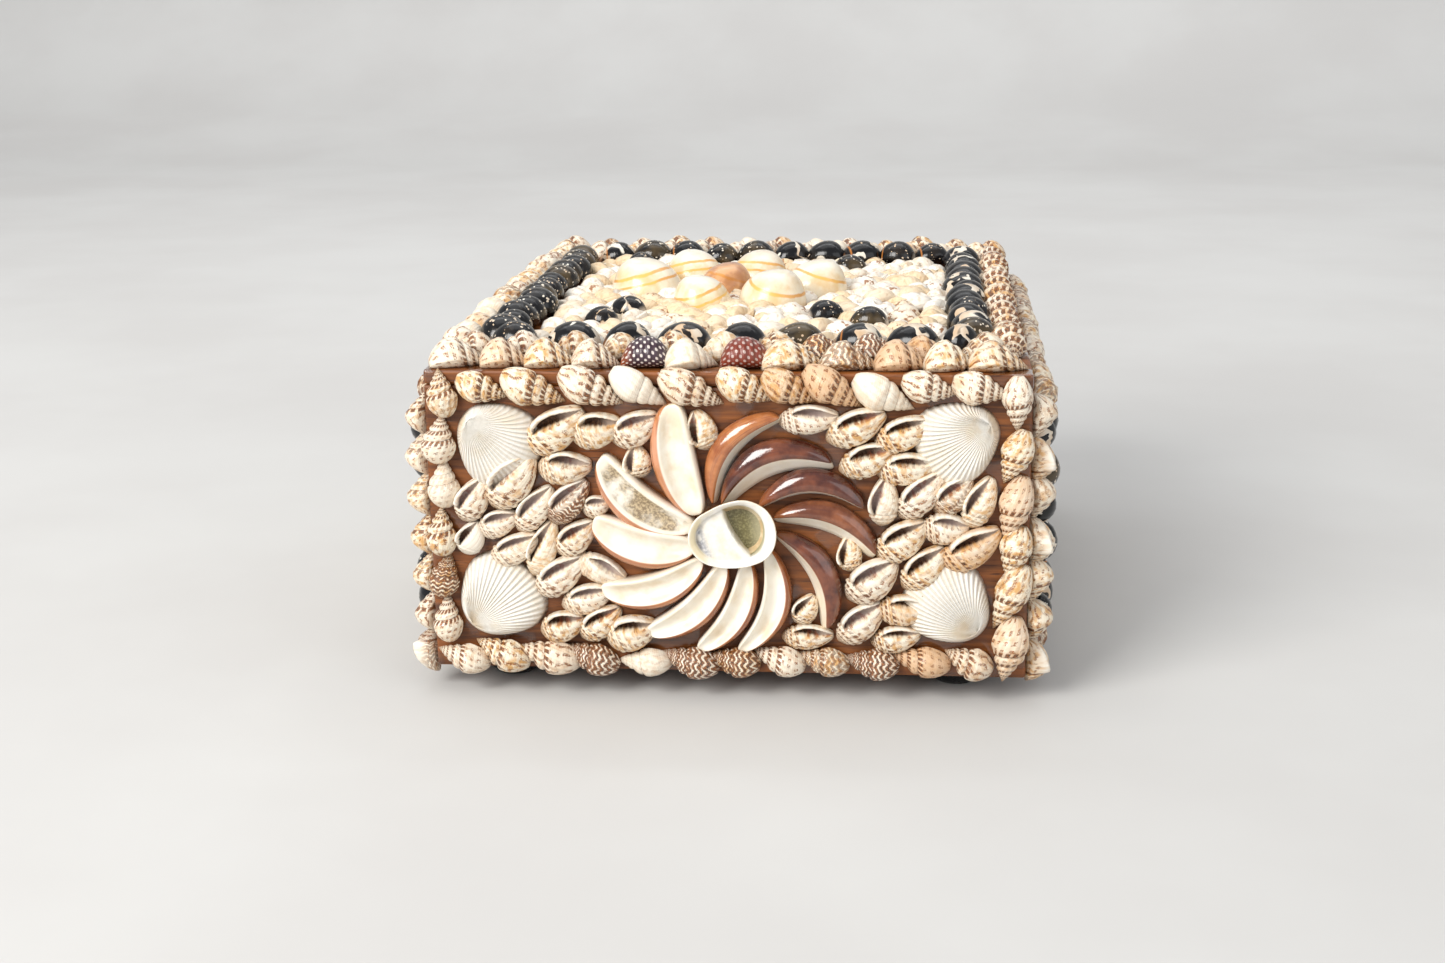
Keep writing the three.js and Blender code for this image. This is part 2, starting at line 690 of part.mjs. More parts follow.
// Lid: small white shells between the nerites and the rosette
const FIELD_U = nextU - NERITE_WIDTH - STRIP_GAP;
const FIELD_V = innerEnd;
const domeCutters = DOMES.map(([, u, v, radiusU, radiusV], i) =>
  solidOf(dome(u, v, radiusU, radiusV, LID_DOME_HEIGHT, 50 * i, 10, CLEARANCE)),
);
const domeSpots = DOMES.map(([, u, v, radiusU]) => [u, v, radiusU]);
const fieldBeds = [
  strip(-FIELD_U, -FIELD_V, FIELD_U, -20.6),
  strip(-FIELD_U, 39.4, FIELD_U, FIELD_V),
  strip(-FIELD_U, -21, -42, 40),
  strip(26, -21, FIELD_U, 40),
];
const lidField = field(-FIELD_U + 1, -FIELD_V + 1, FIELD_U - 1, FIELD_V - 1, 5, 8, domeSpots);
fuse("lid_white_field", "lid", WHITE_SHELL, bedded(FILLER_KIND, lidField, fieldBeds), domeCutters);

// Left and right faces: whelk frame, nerite frame, white field with moon shells
const SIDE_U = HALF_D - 0.6;
const SIDE_LOW = 0.6;
const SIDE_TOP = BODY_HEIGHT - 0.4;
const FRAME_WIDTH = 7.8;
const SIDE_DOMES = [
  [-34, 34.5, 9, 8.4],
  [-11.5, 34.5, 9.4, 8.8],
  [11.5, 34.5, 9.4, 8.8],
  [34, 34.5, 9, 8.4],
];
const ringU = SIDE_U - FRAME_WIDTH - STRIP_GAP;
const ringLow = SIDE_LOW + FRAME_WIDTH + STRIP_GAP;
const ringTop = SIDE_TOP - FRAME_WIDTH - STRIP_GAP;
const moonU = ringU - NERITE_WIDTH - STRIP_GAP;
const moonLow = ringLow + NERITE_WIDTH + STRIP_GAP;
const moonTop = ringTop - NERITE_WIDTH - STRIP_GAP;
for (const side of ["left", "right"]) {
  const whelks = frame(SIDE_U, SIDE_LOW, SIDE_TOP, FRAME_WIDTH, WHELK_HEIGHT, 11, 3);
  fuse(side + "_whelk_frame", side, WHELK, whelks);
  const nerites = frame(ringU, ringLow, ringTop, NERITE_WIDTH, NERITE_HEIGHT, 11, 2);
  fuse(side + "_nerite_frame", side, NERITE, nerites);
  const fillers = field(-moonU + 1, moonLow + 1, moonU - 1, moonTop - 1, 9, 3, SIDE_DOMES);
  const solids = bedded(FILLER_KIND, fillers, [strip(-moonU, moonLow, moonU, moonTop)]);
  SIDE_DOMES.forEach(([u, v, radiusU, radiusV], i) => {
    solids.push(solidOf(dome(u, v, radiusU, radiusV, SIDE_DOME_HEIGHT, 40 * i, 10)));
  });
  fuse(side + "_moon_field", side, MOON, solids);
}

// Back face: whelk frame round a pinwheel with cockles, plainer than the front
const BACK_U = HALF_W - 0.6;
const BACK_SLICES = 12;
const BACK_CENTRE = SIDE_TOP / 2;
const BACK_COCKLES = [
  [-1, 1, 135],
  [-1, -1, 225],
  [1, 1, 45],
  [1, -1, -45],
];
fuse(
  "back_whelk_frame",
  "back",
  WHELK,
  frame(BACK_U, SIDE_LOW, SIDE_TOP, FRAME_WIDTH, WHELK_HEIGHT, 9, 3),
);
const backU = BACK_U - FRAME_WIDTH - STRIP_GAP;
const backClear = [[0, BACK_CENTRE, 24.6]];
BACK_COCKLES.forEach(([su, sv]) => backClear.push([su * 50, BACK_CENTRE + sv * 16.4, 6.2]));
const backFillers = field(-backU, ringLow, backU, ringTop, 7, 4, backClear);
const backSolids = bedded(FILLER_KIND, backFillers, [strip(-backU, ringLow, backU, ringTop)]);
for (let i = 0; i < BACK_SLICES; i++) {
  const angle = (2 * Math.PI * i) / BACK_SLICES;
  const lean = angle + 0.42;
  const u0 = 10.6 * Math.cos(angle);
  const v0 = BACK_CENTRE + 10 * Math.sin(angle);
  const u1 = 27.5 * Math.cos(lean);
  const v1 = BACK_CENTRE + 24.6 * Math.sin(lean);
  backSolids.push(solidOf(slice([u0, v0, u1, v1, 4.2, -0.4], 0, PLAIN_STATIONS)));
}
backSolids.push(solidOf(hub({ u: 0, v: BACK_CENTRE, length: 20, width: 16, turn: 10 })));
BACK_COCKLES.forEach(([su, sv, turn]) => {
  backSolids.push(solidOf(cockle(su * 50, BACK_CENTRE + sv * 16.4, 17, 17.6, turn)));
});
fuse("back_pinwheel", "back", COWRIE, backSolids);

const part = new THREE.Group();
for (const { name, geometry, material } of nodes) {
  const mesh = new THREE.Mesh(geometry, new THREE.MeshStandardMaterial(material));
  mesh.name = name;
  part.add(mesh);
}

export default part;
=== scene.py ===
import math
import random

import bmesh
import bpy
import numpy as np
from mathutils import Matrix, Vector


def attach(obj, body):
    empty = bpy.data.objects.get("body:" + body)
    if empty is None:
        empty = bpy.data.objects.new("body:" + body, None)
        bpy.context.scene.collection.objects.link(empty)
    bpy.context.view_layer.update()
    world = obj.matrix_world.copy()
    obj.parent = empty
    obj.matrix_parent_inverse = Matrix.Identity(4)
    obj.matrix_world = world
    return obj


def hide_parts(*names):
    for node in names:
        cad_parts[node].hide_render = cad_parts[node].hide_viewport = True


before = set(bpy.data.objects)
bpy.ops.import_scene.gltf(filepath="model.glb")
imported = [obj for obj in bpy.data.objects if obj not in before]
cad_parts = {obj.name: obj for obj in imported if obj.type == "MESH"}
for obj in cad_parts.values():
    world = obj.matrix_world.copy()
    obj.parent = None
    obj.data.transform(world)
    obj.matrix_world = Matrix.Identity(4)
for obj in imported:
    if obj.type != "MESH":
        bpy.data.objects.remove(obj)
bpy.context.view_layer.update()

# The wooden box: five boards of dark red-brown hardwood, butted and glued, with slightly eased edges.
# The grain runs along each board, and patches of clear glue shine on the faces between the shells.
WOOD_WIDTH, WOOD_DEPTH, BODY_HEIGHT, LID_THICKNESS = 140.0, 176.0, 69.0, 3.5
FOOT_HEIGHT, WALL, FLOOR_THICKNESS, GAP, EDGE_EASE = 6.0, 5.0, 4.0, 0.1, 0.7
HALF_W, HALF_D = WOOD_WIDTH / 2, WOOD_DEPTH / 2
LID_TOP = FOOT_HEIGHT + BODY_HEIGHT + LID_THICKNESS
MM, BODY = 0.001, "root"


class Val:
    """A float or vector socket of a shader tree that does arithmetic by adding Math nodes."""

    def __init__(self, shader, socket):
        self.shader = shader
        self.socket = socket

    def op(self, operation, *others, clamp=False):
        settings = {"operation": operation, "use_clamp": clamp}
        return self.shader.node("ShaderNodeMath", settings, [self, *others])

    def __add__(self, other):
        return self.op("ADD", other)

    def __sub__(self, other):
        return self.op("SUBTRACT", other)

    def __rsub__(self, other):
        return (self * -1.0) + other

    def __mul__(self, other):
        return self.op("MULTIPLY", other)

    __radd__ = __add__
    __rmul__ = __mul__

    def sin(self):
        return self.op("SINE")

    def fract(self):
        return self.op("FRACT")

    def abs(self):
        return self.op("ABSOLUTE")

    def maximum(self, other):
        return self.op("MAXIMUM", other)

    def clamp(self):
        return self.op("ADD", 0.0, clamp=True)

    def ramp(self, low, high, to_low=0.0, to_high=1.0):
        """Smooth step between low and high."""
        settings = {"interpolation_type": "SMOOTHSTEP"}
        sockets = {"Value": self, "From Min": low, "From Max": high, "To Min": to_low, "To Max": to_high}
        return self.shader.node("ShaderNodeMapRange", settings, sockets, "Result")

    def fall(self, low, high):
        """Smooth step down from 1 at low to 0 at high."""
        return self.ramp(low, high, 1.0, 0.0)


class Shader:
    """A material's node tree: every node comes from node(), colours from mix()."""

    def __init__(self, name):
        self.material = bpy.data.materials.new(name)
        self.material.use_nodes = True
        self.tree = self.material.node_tree
        self.tree.nodes.clear()
        self.bsdf = self.tree.nodes.new("ShaderNodeBsdfPrincipled")
        output = self.tree.nodes.new("ShaderNodeOutputMaterial")
        self.tree.links.new(self.bsdf.outputs[0], output.inputs[0])

    def node(self, kind, settings, sockets, out=0):
        made = self.tree.nodes.new(kind)
        for key, value in (settings or {}).items():
            setattr(made, key, value)
        items = sockets.items() if isinstance(sockets, dict) else enumerate(sockets or [])
        for key, value in items:
            if isinstance(value, Val):
                self.tree.links.new(value.socket, made.inputs[key])
            else:
                made.inputs[key].default_value = value
        return Val(self, made.outputs[out])

    def mix(self, factor, a, b):
        settings = {"data_type": "RGBA", "clamp_factor": True}
        rgb = [c if isinstance(c, Val) else (*c, 1.0) for c in (a, b)]
        return self.node("ShaderNodeMix", settings, {0: factor, 6: rgb[0], 7: rgb[1]}, 2)

    def over(self, factor, tint):
        """Lays a tint over the colour so far."""
        self.colour = self.mix(factor, self.colour, tint)

    def attribute(self, name, out="Fac"):
        return self.node("ShaderNodeAttribute", {"attribute_name": name}, None, out)

    def split(self, vector):
        made = self.tree.nodes.new("ShaderNodeSeparateXYZ")
        self.tree.links.new(vector.socket, made.inputs[0])
        return [Val(self, made.outputs[i]) for i in range(3)]

    def parts(self, name):
        """The three numbers of a vector attribute."""
        return self.split(self.attribute(name, "Vector"))

    def join(self, x, y, z):
        return self.node("ShaderNodeCombineXYZ", None, [x, y, z])

    def noise(self, vector, scale, detail, rough=0.55):
        sockets = {"Vector": vector, "Scale": scale, "Detail": detail, "Roughness": rough}
        return self.node("ShaderNodeTexNoise", None, sockets)

    def cells(self, vector, scale):
        return self.node("ShaderNodeTexVoronoi", None, {"Vector": vector, "Scale": scale}, "Distance")

    def object_coords(self):
        return self.node("ShaderNodeTexCoord", None, None, "Object")

    def bump(self, height, distance, strength):
        values = {"Height": height, "Distance": distance, "Strength": strength}
        return self.node("ShaderNodeBump", None, values)

    def finish(self, roughness, normal=None, coat=0.0, specular=0.5):
        values = {"Base Color": self.colour, "Roughness": roughness, "Normal": normal, "Coat Weight": coat}
        for key, value in values.items():
            if isinstance(value, Val):
                self.tree.links.new(value.socket, self.bsdf.inputs[key])
            elif value is not None:
                self.bsdf.inputs[key].default_value = value
        self.bsdf.inputs["Coat Roughness"].default_value = 0.12
        self.bsdf.inputs["Specular IOR Level"].default_value = specular
        return self.material


def add_object(name, mesh, material=None):
    if material:
        mesh.materials.clear()
        mesh.materials.append(material)
    made = bpy.data.objects.new(name, mesh)
    bpy.context.scene.collection.objects.link(made)
    return made


def place(piece, slot, *nodes):
    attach(piece, BODY)
    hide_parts(*nodes)


def wood_material(name, lengthwise):
    """lengthwise is the object axis that the grain runs along: 0, 1 or 2."""
    s = Shader(name)
    coords = s.object_coords()
    axes = s.split(coords)

    def stretched(across, along):
        scales = [along if i == lengthwise else across for i in range(3)]
        return s.join(*[axis * scale for axis, scale in zip(axes, scales)])

    grain = stretched(900.0, 45.0)
    broad = s.noise(stretched(260.0, 14.0), 1.0, 4.0)
    fine = s.noise(grain, 1.0, 5.0, 0.7)
    pores = s.noise(grain, 2.6, 2.0).ramp(0.6, 0.72)
    s.colour = s.mix(broad.ramp(0.35, 0.7), (0.075, 0.021, 0.004), (0.27, 0.08, 0.014))
    s.over(fine.ramp(0.4, 0.7) * 0.6, (0.31, 0.105, 0.02))
    s.over(pores * 0.7, (0.018, 0.005, 0.002))
    glue = s.noise(coords, 95.0, 2.0).ramp(0.52, 0.6)
    s.over(glue * 0.35, (0.035, 0.01, 0.003))
    height = fine * 0.4 - pores * 0.6 + glue * 1.4
    normal = s.bump(height, 0.00012, 0.7)
    return s.finish(0.5 - glue * 0.32, normal, coat=glue * 0.8)


def board_mesh(name, size, centre, extra=None):
    """A board with eased edges, sizes in mm; extra adds a second block (size, centre) that overlaps it."""
    bm = bmesh.new()
    for block_size, block_centre in [(size, centre)] + ([extra] if extra else []):
        made = bmesh.ops.create_cube(bm, size=1.0)
        for vert in made["verts"]:
            vert.co = Vector([(c * s + m) * MM for c, s, m in zip(vert.co, block_size, block_centre)])
    bmesh.ops.bevel(bm, geom=list(bm.edges), offset=EDGE_EASE * MM, segments=2, affect="EDGES", profile=0.5)
    mesh = bpy.data.meshes.new(name)
    bm.to_mesh(mesh)
    bm.free()
    return mesh


wood_across = wood_material("wood_grain_across", 0)
wood_along = wood_material("wood_grain_along", 1)
wall_height = BODY_HEIGHT - GAP
wall_middle = FOOT_HEIGHT + wall_height / 2
inner_width = WOOD_WIDTH - 2 * WALL - 2 * GAP
inner_depth = WOOD_DEPTH - 2 * WALL - 2 * GAP
boards = [
    ("front_board", (WOOD_WIDTH, WALL, wall_height), (0, -HALF_D + WALL / 2, wall_middle), wood_across),
    ("back_board", (WOOD_WIDTH, WALL, wall_height), (0, HALF_D - WALL / 2, wall_middle), wood_across),
    ("left_board", (WALL, inner_depth, wall_height), (-HALF_W + WALL / 2, 0, wall_middle), wood_along),
    ("right_board", (WALL, inner_depth, wall_height), (HALF_W - WALL / 2, 0, wall_middle), wood_along),
    (
        "floor_board",
        (inner_width, inner_depth, FLOOR_THICKNESS),
        (0, 0, FOOT_HEIGHT + FLOOR_THICKNESS / 2),
        wood_along,
    ),
]
for board_name, board_size, board_centre, board_material in boards:
    board = add_object(board_name + "_wood", board_mesh(board_name, board_size, board_centre), board_material)
    place(board, "wood", board_name)

# The lid: a thin board of the same wood that lies on the four walls; on the real box it lifts off.
# A step under it drops between the walls and keeps it in place.
LID_STEP, STEP_CLEARANCE, STEP_OVERLAP = 2.5, 0.5, 0.5
step_margin = 2 * (WALL + STEP_CLEARANCE)
step_size = (WOOD_WIDTH - step_margin, WOOD_DEPTH - step_margin, LID_STEP + STEP_OVERLAP)
step_middle = LID_TOP - LID_THICKNESS - (LID_STEP - STEP_OVERLAP) / 2
lid_size, lid_middle = (WOOD_WIDTH, WOOD_DEPTH, LID_THICKNESS), LID_TOP - LID_THICKNESS / 2
lid_mesh = board_mesh("lid_board", lid_size, (0, 0, lid_middle), extra=(step_size, (0, 0, step_middle)))
place(add_object("lid_board_wood", lid_mesh, wood_across), "wood", "lid_board")

# The feet: four black glossy moulded domes, nailed or glued under the corners of the box.
# They stand a little in from its edges and keep the boards clear of the table.
FOOT_RADIUS, FOOT_INSET = 7.0, 16.0
foot_shader = Shader("foot_black_gloss")
foot_coords = foot_shader.object_coords()
foot_specks = foot_shader.noise(foot_coords, 900.0, 3.0)
foot_dust = foot_shader.noise(foot_coords, 220.0, 3.0).ramp(0.5, 0.75)
foot_shader.colour = foot_shader.mix(foot_dust * 0.3, (0.008, 0.008, 0.009), (0.06, 0.055, 0.05))
foot_material = foot_shader.finish(0.22 + foot_dust * 0.3, foot_shader.bump(foot_specks, 0.00004, 0.5))


def surface(name, rings, attributes=None):
    """A mesh skinned over rings of points, each ring closed, with values per point kept as attributes."""
    rings = np.asarray(rings, dtype=float)
    stations, around, _ = rings.shape
    faces = []
    for s in range(stations - 1):
        for k in range(around):
            n = (k + 1) % around
            faces.append((s * around + k, s * around + n, (s + 1) * around + n, (s + 1) * around + k))
    faces.append(tuple(reversed(range(around))))
    faces.append(tuple((stations - 1) * around + k for k in range(around)))
    mesh = bpy.data.meshes.new(name)
    mesh.from_pydata(rings.reshape(-1, 3).tolist(), [], faces)
    for key, values in (attributes or {}).items():
        values = np.asarray(values, dtype=float)
        vector = values.ndim == 3
        made = mesh.attributes.new(key, "FLOAT_VECTOR" if vector else "FLOAT", "POINT")
        made.data.foreach_set("vector" if vector else "value", values.ravel())
    mesh.shade_smooth()
    return mesh


# radius and height of the dome's outline, from the sole up
foot_profile = [(4.4, 0), (4.9, 0.15), (6.1, 1.3), (6.8, 2.7), (7, 4), (FOOT_RADIUS, FOOT_HEIGHT - GAP)]
foot_turns = np.linspace(0, 2 * math.pi, 32, endpoint=False)
for end, sy in (("front", -1), ("back", 1)):
    for side, sx in (("left", -1), ("right", 1)):
        foot_name = "foot_%s_%s" % (end, side)
        x, y = sx * (HALF_W - FOOT_INSET), sy * (HALF_D - FOOT_INSET)
        rings = [
            [((r * math.cos(t) + x) * MM, (r * math.sin(t) + y) * MM, z * MM) for t in foot_turns]
            for r, z in foot_profile
        ]
        foot = add_object(foot_name + "_dome", surface(foot_name, rings), foot_material)
        place(foot, "foot_black", foot_name)

# Small dog whelks, back up: the rows along the edges of the front, in clear glue, spire after spire.
# Real shells 12 to 17 mm long: ribbed whorls, cream with brown dashes at the seams, some darker.
FACES = {
    "front": ((1, 0, 0), (0, 0, 1), (0, -HALF_D, FOOT_HEIGHT)),
    "back": ((-1, 0, 0), (0, 0, 1), (0, HALF_D, FOOT_HEIGHT)),
    "left": ((0, -1, 0), (0, 0, 1), (-HALF_W, 0, FOOT_HEIGHT)),
    "right": ((0, 1, 0), (0, 0, 1), (HALF_W, 0, FOOT_HEIGHT)),
    "lid": ((1, 0, 0), (0, 1, 0), (0, 0, LID_TOP)),
}


def face_matrix(face):
    """From millimetres on a face (right, up, out of the wood) to metres in the row frame."""
    u, v, origin = (Vector(part) for part in FACES[face])
    n = u.cross(v)
    matrix = Matrix((u, v, n)).transposed().to_4x4()
    matrix.translation = origin
    return Matrix.Scale(MM, 4) @ matrix


# how much each whorl outgrows the last, and where the body whorl starts: back up, and mouth up
WHORL_RATIO, BODY_SEAM, MOUTH_SEAM = 1.6, 0.46, 0.3
# where the whorls begin at the tip, and how far to each side of the top the close skin reaches, in radians
APEX, SKIN_HALF = 0.012, 1.95
# where the outer lip of a shell that lies back up shows, in radians from the top
OUTER_LIP = 1.62


def skin_turns(top_steps, low_steps):
    """Angles round a shell's axis, 0 on top, close together where they show and few below."""
    upper = np.linspace(-SKIN_HALF, SKIN_HALF, top_steps)
    lower = np.linspace(SKIN_HALF, 2 * math.pi - SKIN_HALF, low_steps + 2)[1:-1]
    turns = np.concatenate([upper, lower])
    return np.where(turns > math.pi, turns - 2 * math.pi, turns)


def whorls(from_apex, turns, seam, ratio=WHORL_RATIO, blend=0.12):
    """For the points of a ring: the whorl, the way from seam to seam, and how far it is the body whorl."""
    whorl = np.log(max(from_apex, APEX) / seam) / math.log(ratio) + turns / (2 * math.pi)
    return whorl, whorl - np.floor(whorl), np.clip(whorl / blend, 0, 1)


def shell_ring(from_apex, turns, radius, girth, top, low):
    """A ring of a shell one unit long that rests on z 0, spire to +X, with a flatter underside."""
    rise = np.cos(turns)
    z = np.where(rise > 0, rise * top, rise * low) * radius + 0.34 * girth + 0.04
    return np.stack([np.full_like(z, 0.5 - from_apex), -np.sin(turns) * radius * 0.5, z], axis=1)


def skin_shell(name, turns, rows):
    """Skins a shell from rows of (from_apex, whorl, ring, values by name), with its faces out."""
    forms = [np.stack([np.full_like(turns, a), turns, whorl], axis=1) for a, whorl, _, _ in rows]
    values = {"form": np.array(forms)[::-1, ::-1]}
    for key in rows[0][3]:
        values[key] = np.array([row[3][key] for row in rows])[::-1, ::-1]
    return surface(name, np.array([row[2] for row in rows])[::-1, ::-1], values)


def whelk_mesh(name, stations, top_steps, low_steps, ribs, rib_depth, swell=0.34):
    """A whelk one unit long, wide and high, back up: spire to +X, resting on z 0."""
    # girth at shares of the length from the tip, of the widest
    keys = [0, 0.04, 0.12, 0.22, 0.33, 0.46, 0.56, 0.65, 0.77, 0.87, 0.95, 1.0]
    girths = [0.02, 0.11, 0.28, 0.46, 0.65, 0.86, 1.0, 1.0, 0.91, 0.74, 0.53, 0.32]
    turns = skin_turns(top_steps, low_steps)
    rows = []
    for a in np.linspace(0.0, 1.0, stations) ** 1.12:
        girth = np.interp(a, keys, girths)
        whorl, phase, on_body = whorls(a, turns, BODY_SEAM)
        bulge = (np.sin(np.pi * phase) ** 0.4) * swell - swell * 0.68
        shoulder = -0.6 * swell * np.exp(-np.clip(whorl, 0, None) / 0.06)
        radius = girth * (1 + (1 - on_body) * bulge + on_body * shoulder)
        fade = (1 - on_body) * np.sin(np.pi * phase) ** 0.6
        fade = fade + on_body * np.clip(1.15 - whorl / 1.4, 0, 1) ** 0.6
        wave = np.cos(ribs * (turns + 0.3 * whorl))
        radius = radius * (1 + rib_depth * wave * fade)
        radius = radius + girth * 0.1 * np.exp(-(((turns - OUTER_LIP) / 0.17) ** 2)) * on_body
        values = {"rib": wave * fade, "mouth": np.zeros_like(turns)}
        rows.append((a, whorl, shell_ring(a, turns, radius, girth, 0.6, 0.4), values))
    return skin_shell(name, turns, rows)


def mouth_mesh(name, stations, top_steps, low_steps, ribs, rib_depth, slot):
    """A whelk one unit long, wide and high, mouth up: spire to +X, outer lip on the -Y side."""
    keys = [0, 0.05, 0.12, 0.22, 0.33, 0.46, 0.56, 0.68, 0.8, 0.9, 0.96, 1.0]
    girths = [0.1, 0.36, 0.6, 0.82, 0.94, 1.0, 0.98, 0.89, 0.74, 0.55, 0.41, 0.25]
    turns = skin_turns(top_steps, low_steps)
    rows = []
    for a in np.linspace(0, 1, stations):
        girth = np.interp(a, keys, girths)
        whorl, phase, on_body = whorls(a, turns, MOUTH_SEAM)
        radius = girth * (1 + (1 - on_body) * ((np.sin(np.pi * phase) ** 0.5) * 0.18 - 0.12))
        # the mouth runs from the body seam to the narrow end: how far along it, how wide, and where
        along = (a - 0.26) / 0.74
        inside = max(along, 0)
        body = np.clip(along / 0.12, 0, 1)
        reach = math.sin(math.pi * min(max(along, 0.0), 1.0) ** 1.1) ** 0.65
        centre = 0.62 - 0.42 * inside**1.8
        across = (turns - centre) / max(slot * reach, 0.02)
        under_lip = np.clip((1.2 - across) / 0.35, 0, 1)
        by_whorl = np.clip((1.5 + across) / 1.3, 0, 1)
        hole = np.minimum(under_lip, by_whorl) if reach > 0.02 else np.zeros_like(turns)
        hole = hole * hole * (3 - 2 * hole)
        lip = np.exp(-(((turns - centre - slot * reach * 1.1 - 0.24) / 0.27) ** 2))
        lip = lip * body * (1.06 - inside) ** 0.3
        callus = 0.35 * np.exp(-(((turns - centre + slot * reach + 0.3) / 0.15) ** 2)) * body
        wave = np.cos(ribs * (turns + 0.3 * whorl))
        plain = np.clip(1 - lip - callus - hole, 0, 1) * np.clip(-(turns - centre) / 0.5, 0, 1) ** 0.5
        plain = np.where(on_body > 0.5, plain, np.sin(np.pi * phase) ** 0.5)
        radius = radius * (1 + rib_depth * wave * plain) + girth * (0.12 * lip + 0.05 * callus)
        ring = shell_ring(a, turns, radius, girth, 0.56, 0.4)
        ring[:, 2] += (0.26 * lip - (0.66 - 0.36 * inside) * hole) * girth
        values = {"rib": wave * plain, "mouth": hole, "lip": np.clip(lip + callus, 0, 1)}
        rows.append((a, whorl, ring, values))
    return skin_shell(name, turns, rows)


def prototypes(name, meshes):
    """A hidden collection of forms that a laying tree picks from by number."""
    made = bpy.data.collections.new(name)
    for i, mesh in enumerate(meshes):
        made.objects.link(bpy.data.objects.new("%s_%02d" % (name, i), mesh))
    return made


whelk_forms = prototypes("whelk_forms", [
    whelk_mesh("whelk_bold", 54, 42, 4, 13, 0.03, 0.38),
    whelk_mesh("whelk_fine", 54, 42, 4, 17, 0.016, 0.33),
    whelk_mesh("whelk_smooth", 46, 32, 4, 14, 0.006, 0.27),
])
whelk_middle_forms = prototypes("whelk_middle_forms", [
    whelk_mesh("whelk_middle_bold", 36, 27, 3, 13, 0.03, 0.36),
    whelk_mesh("whelk_middle_fine", 36, 27, 3, 11, 0.016, 0.32),
])
whelk_light_forms = prototypes("whelk_light_forms", [
    whelk_mesh("whelk_light_ribbed", 22, 17, 3, 9, 0.06),
    whelk_mesh("whelk_light_smooth", 20, 13, 3, 11, 0.0),
    mouth_mesh("whelk_light_mouth", 24, 26, 3, 11, 0.0, 0.32),
])


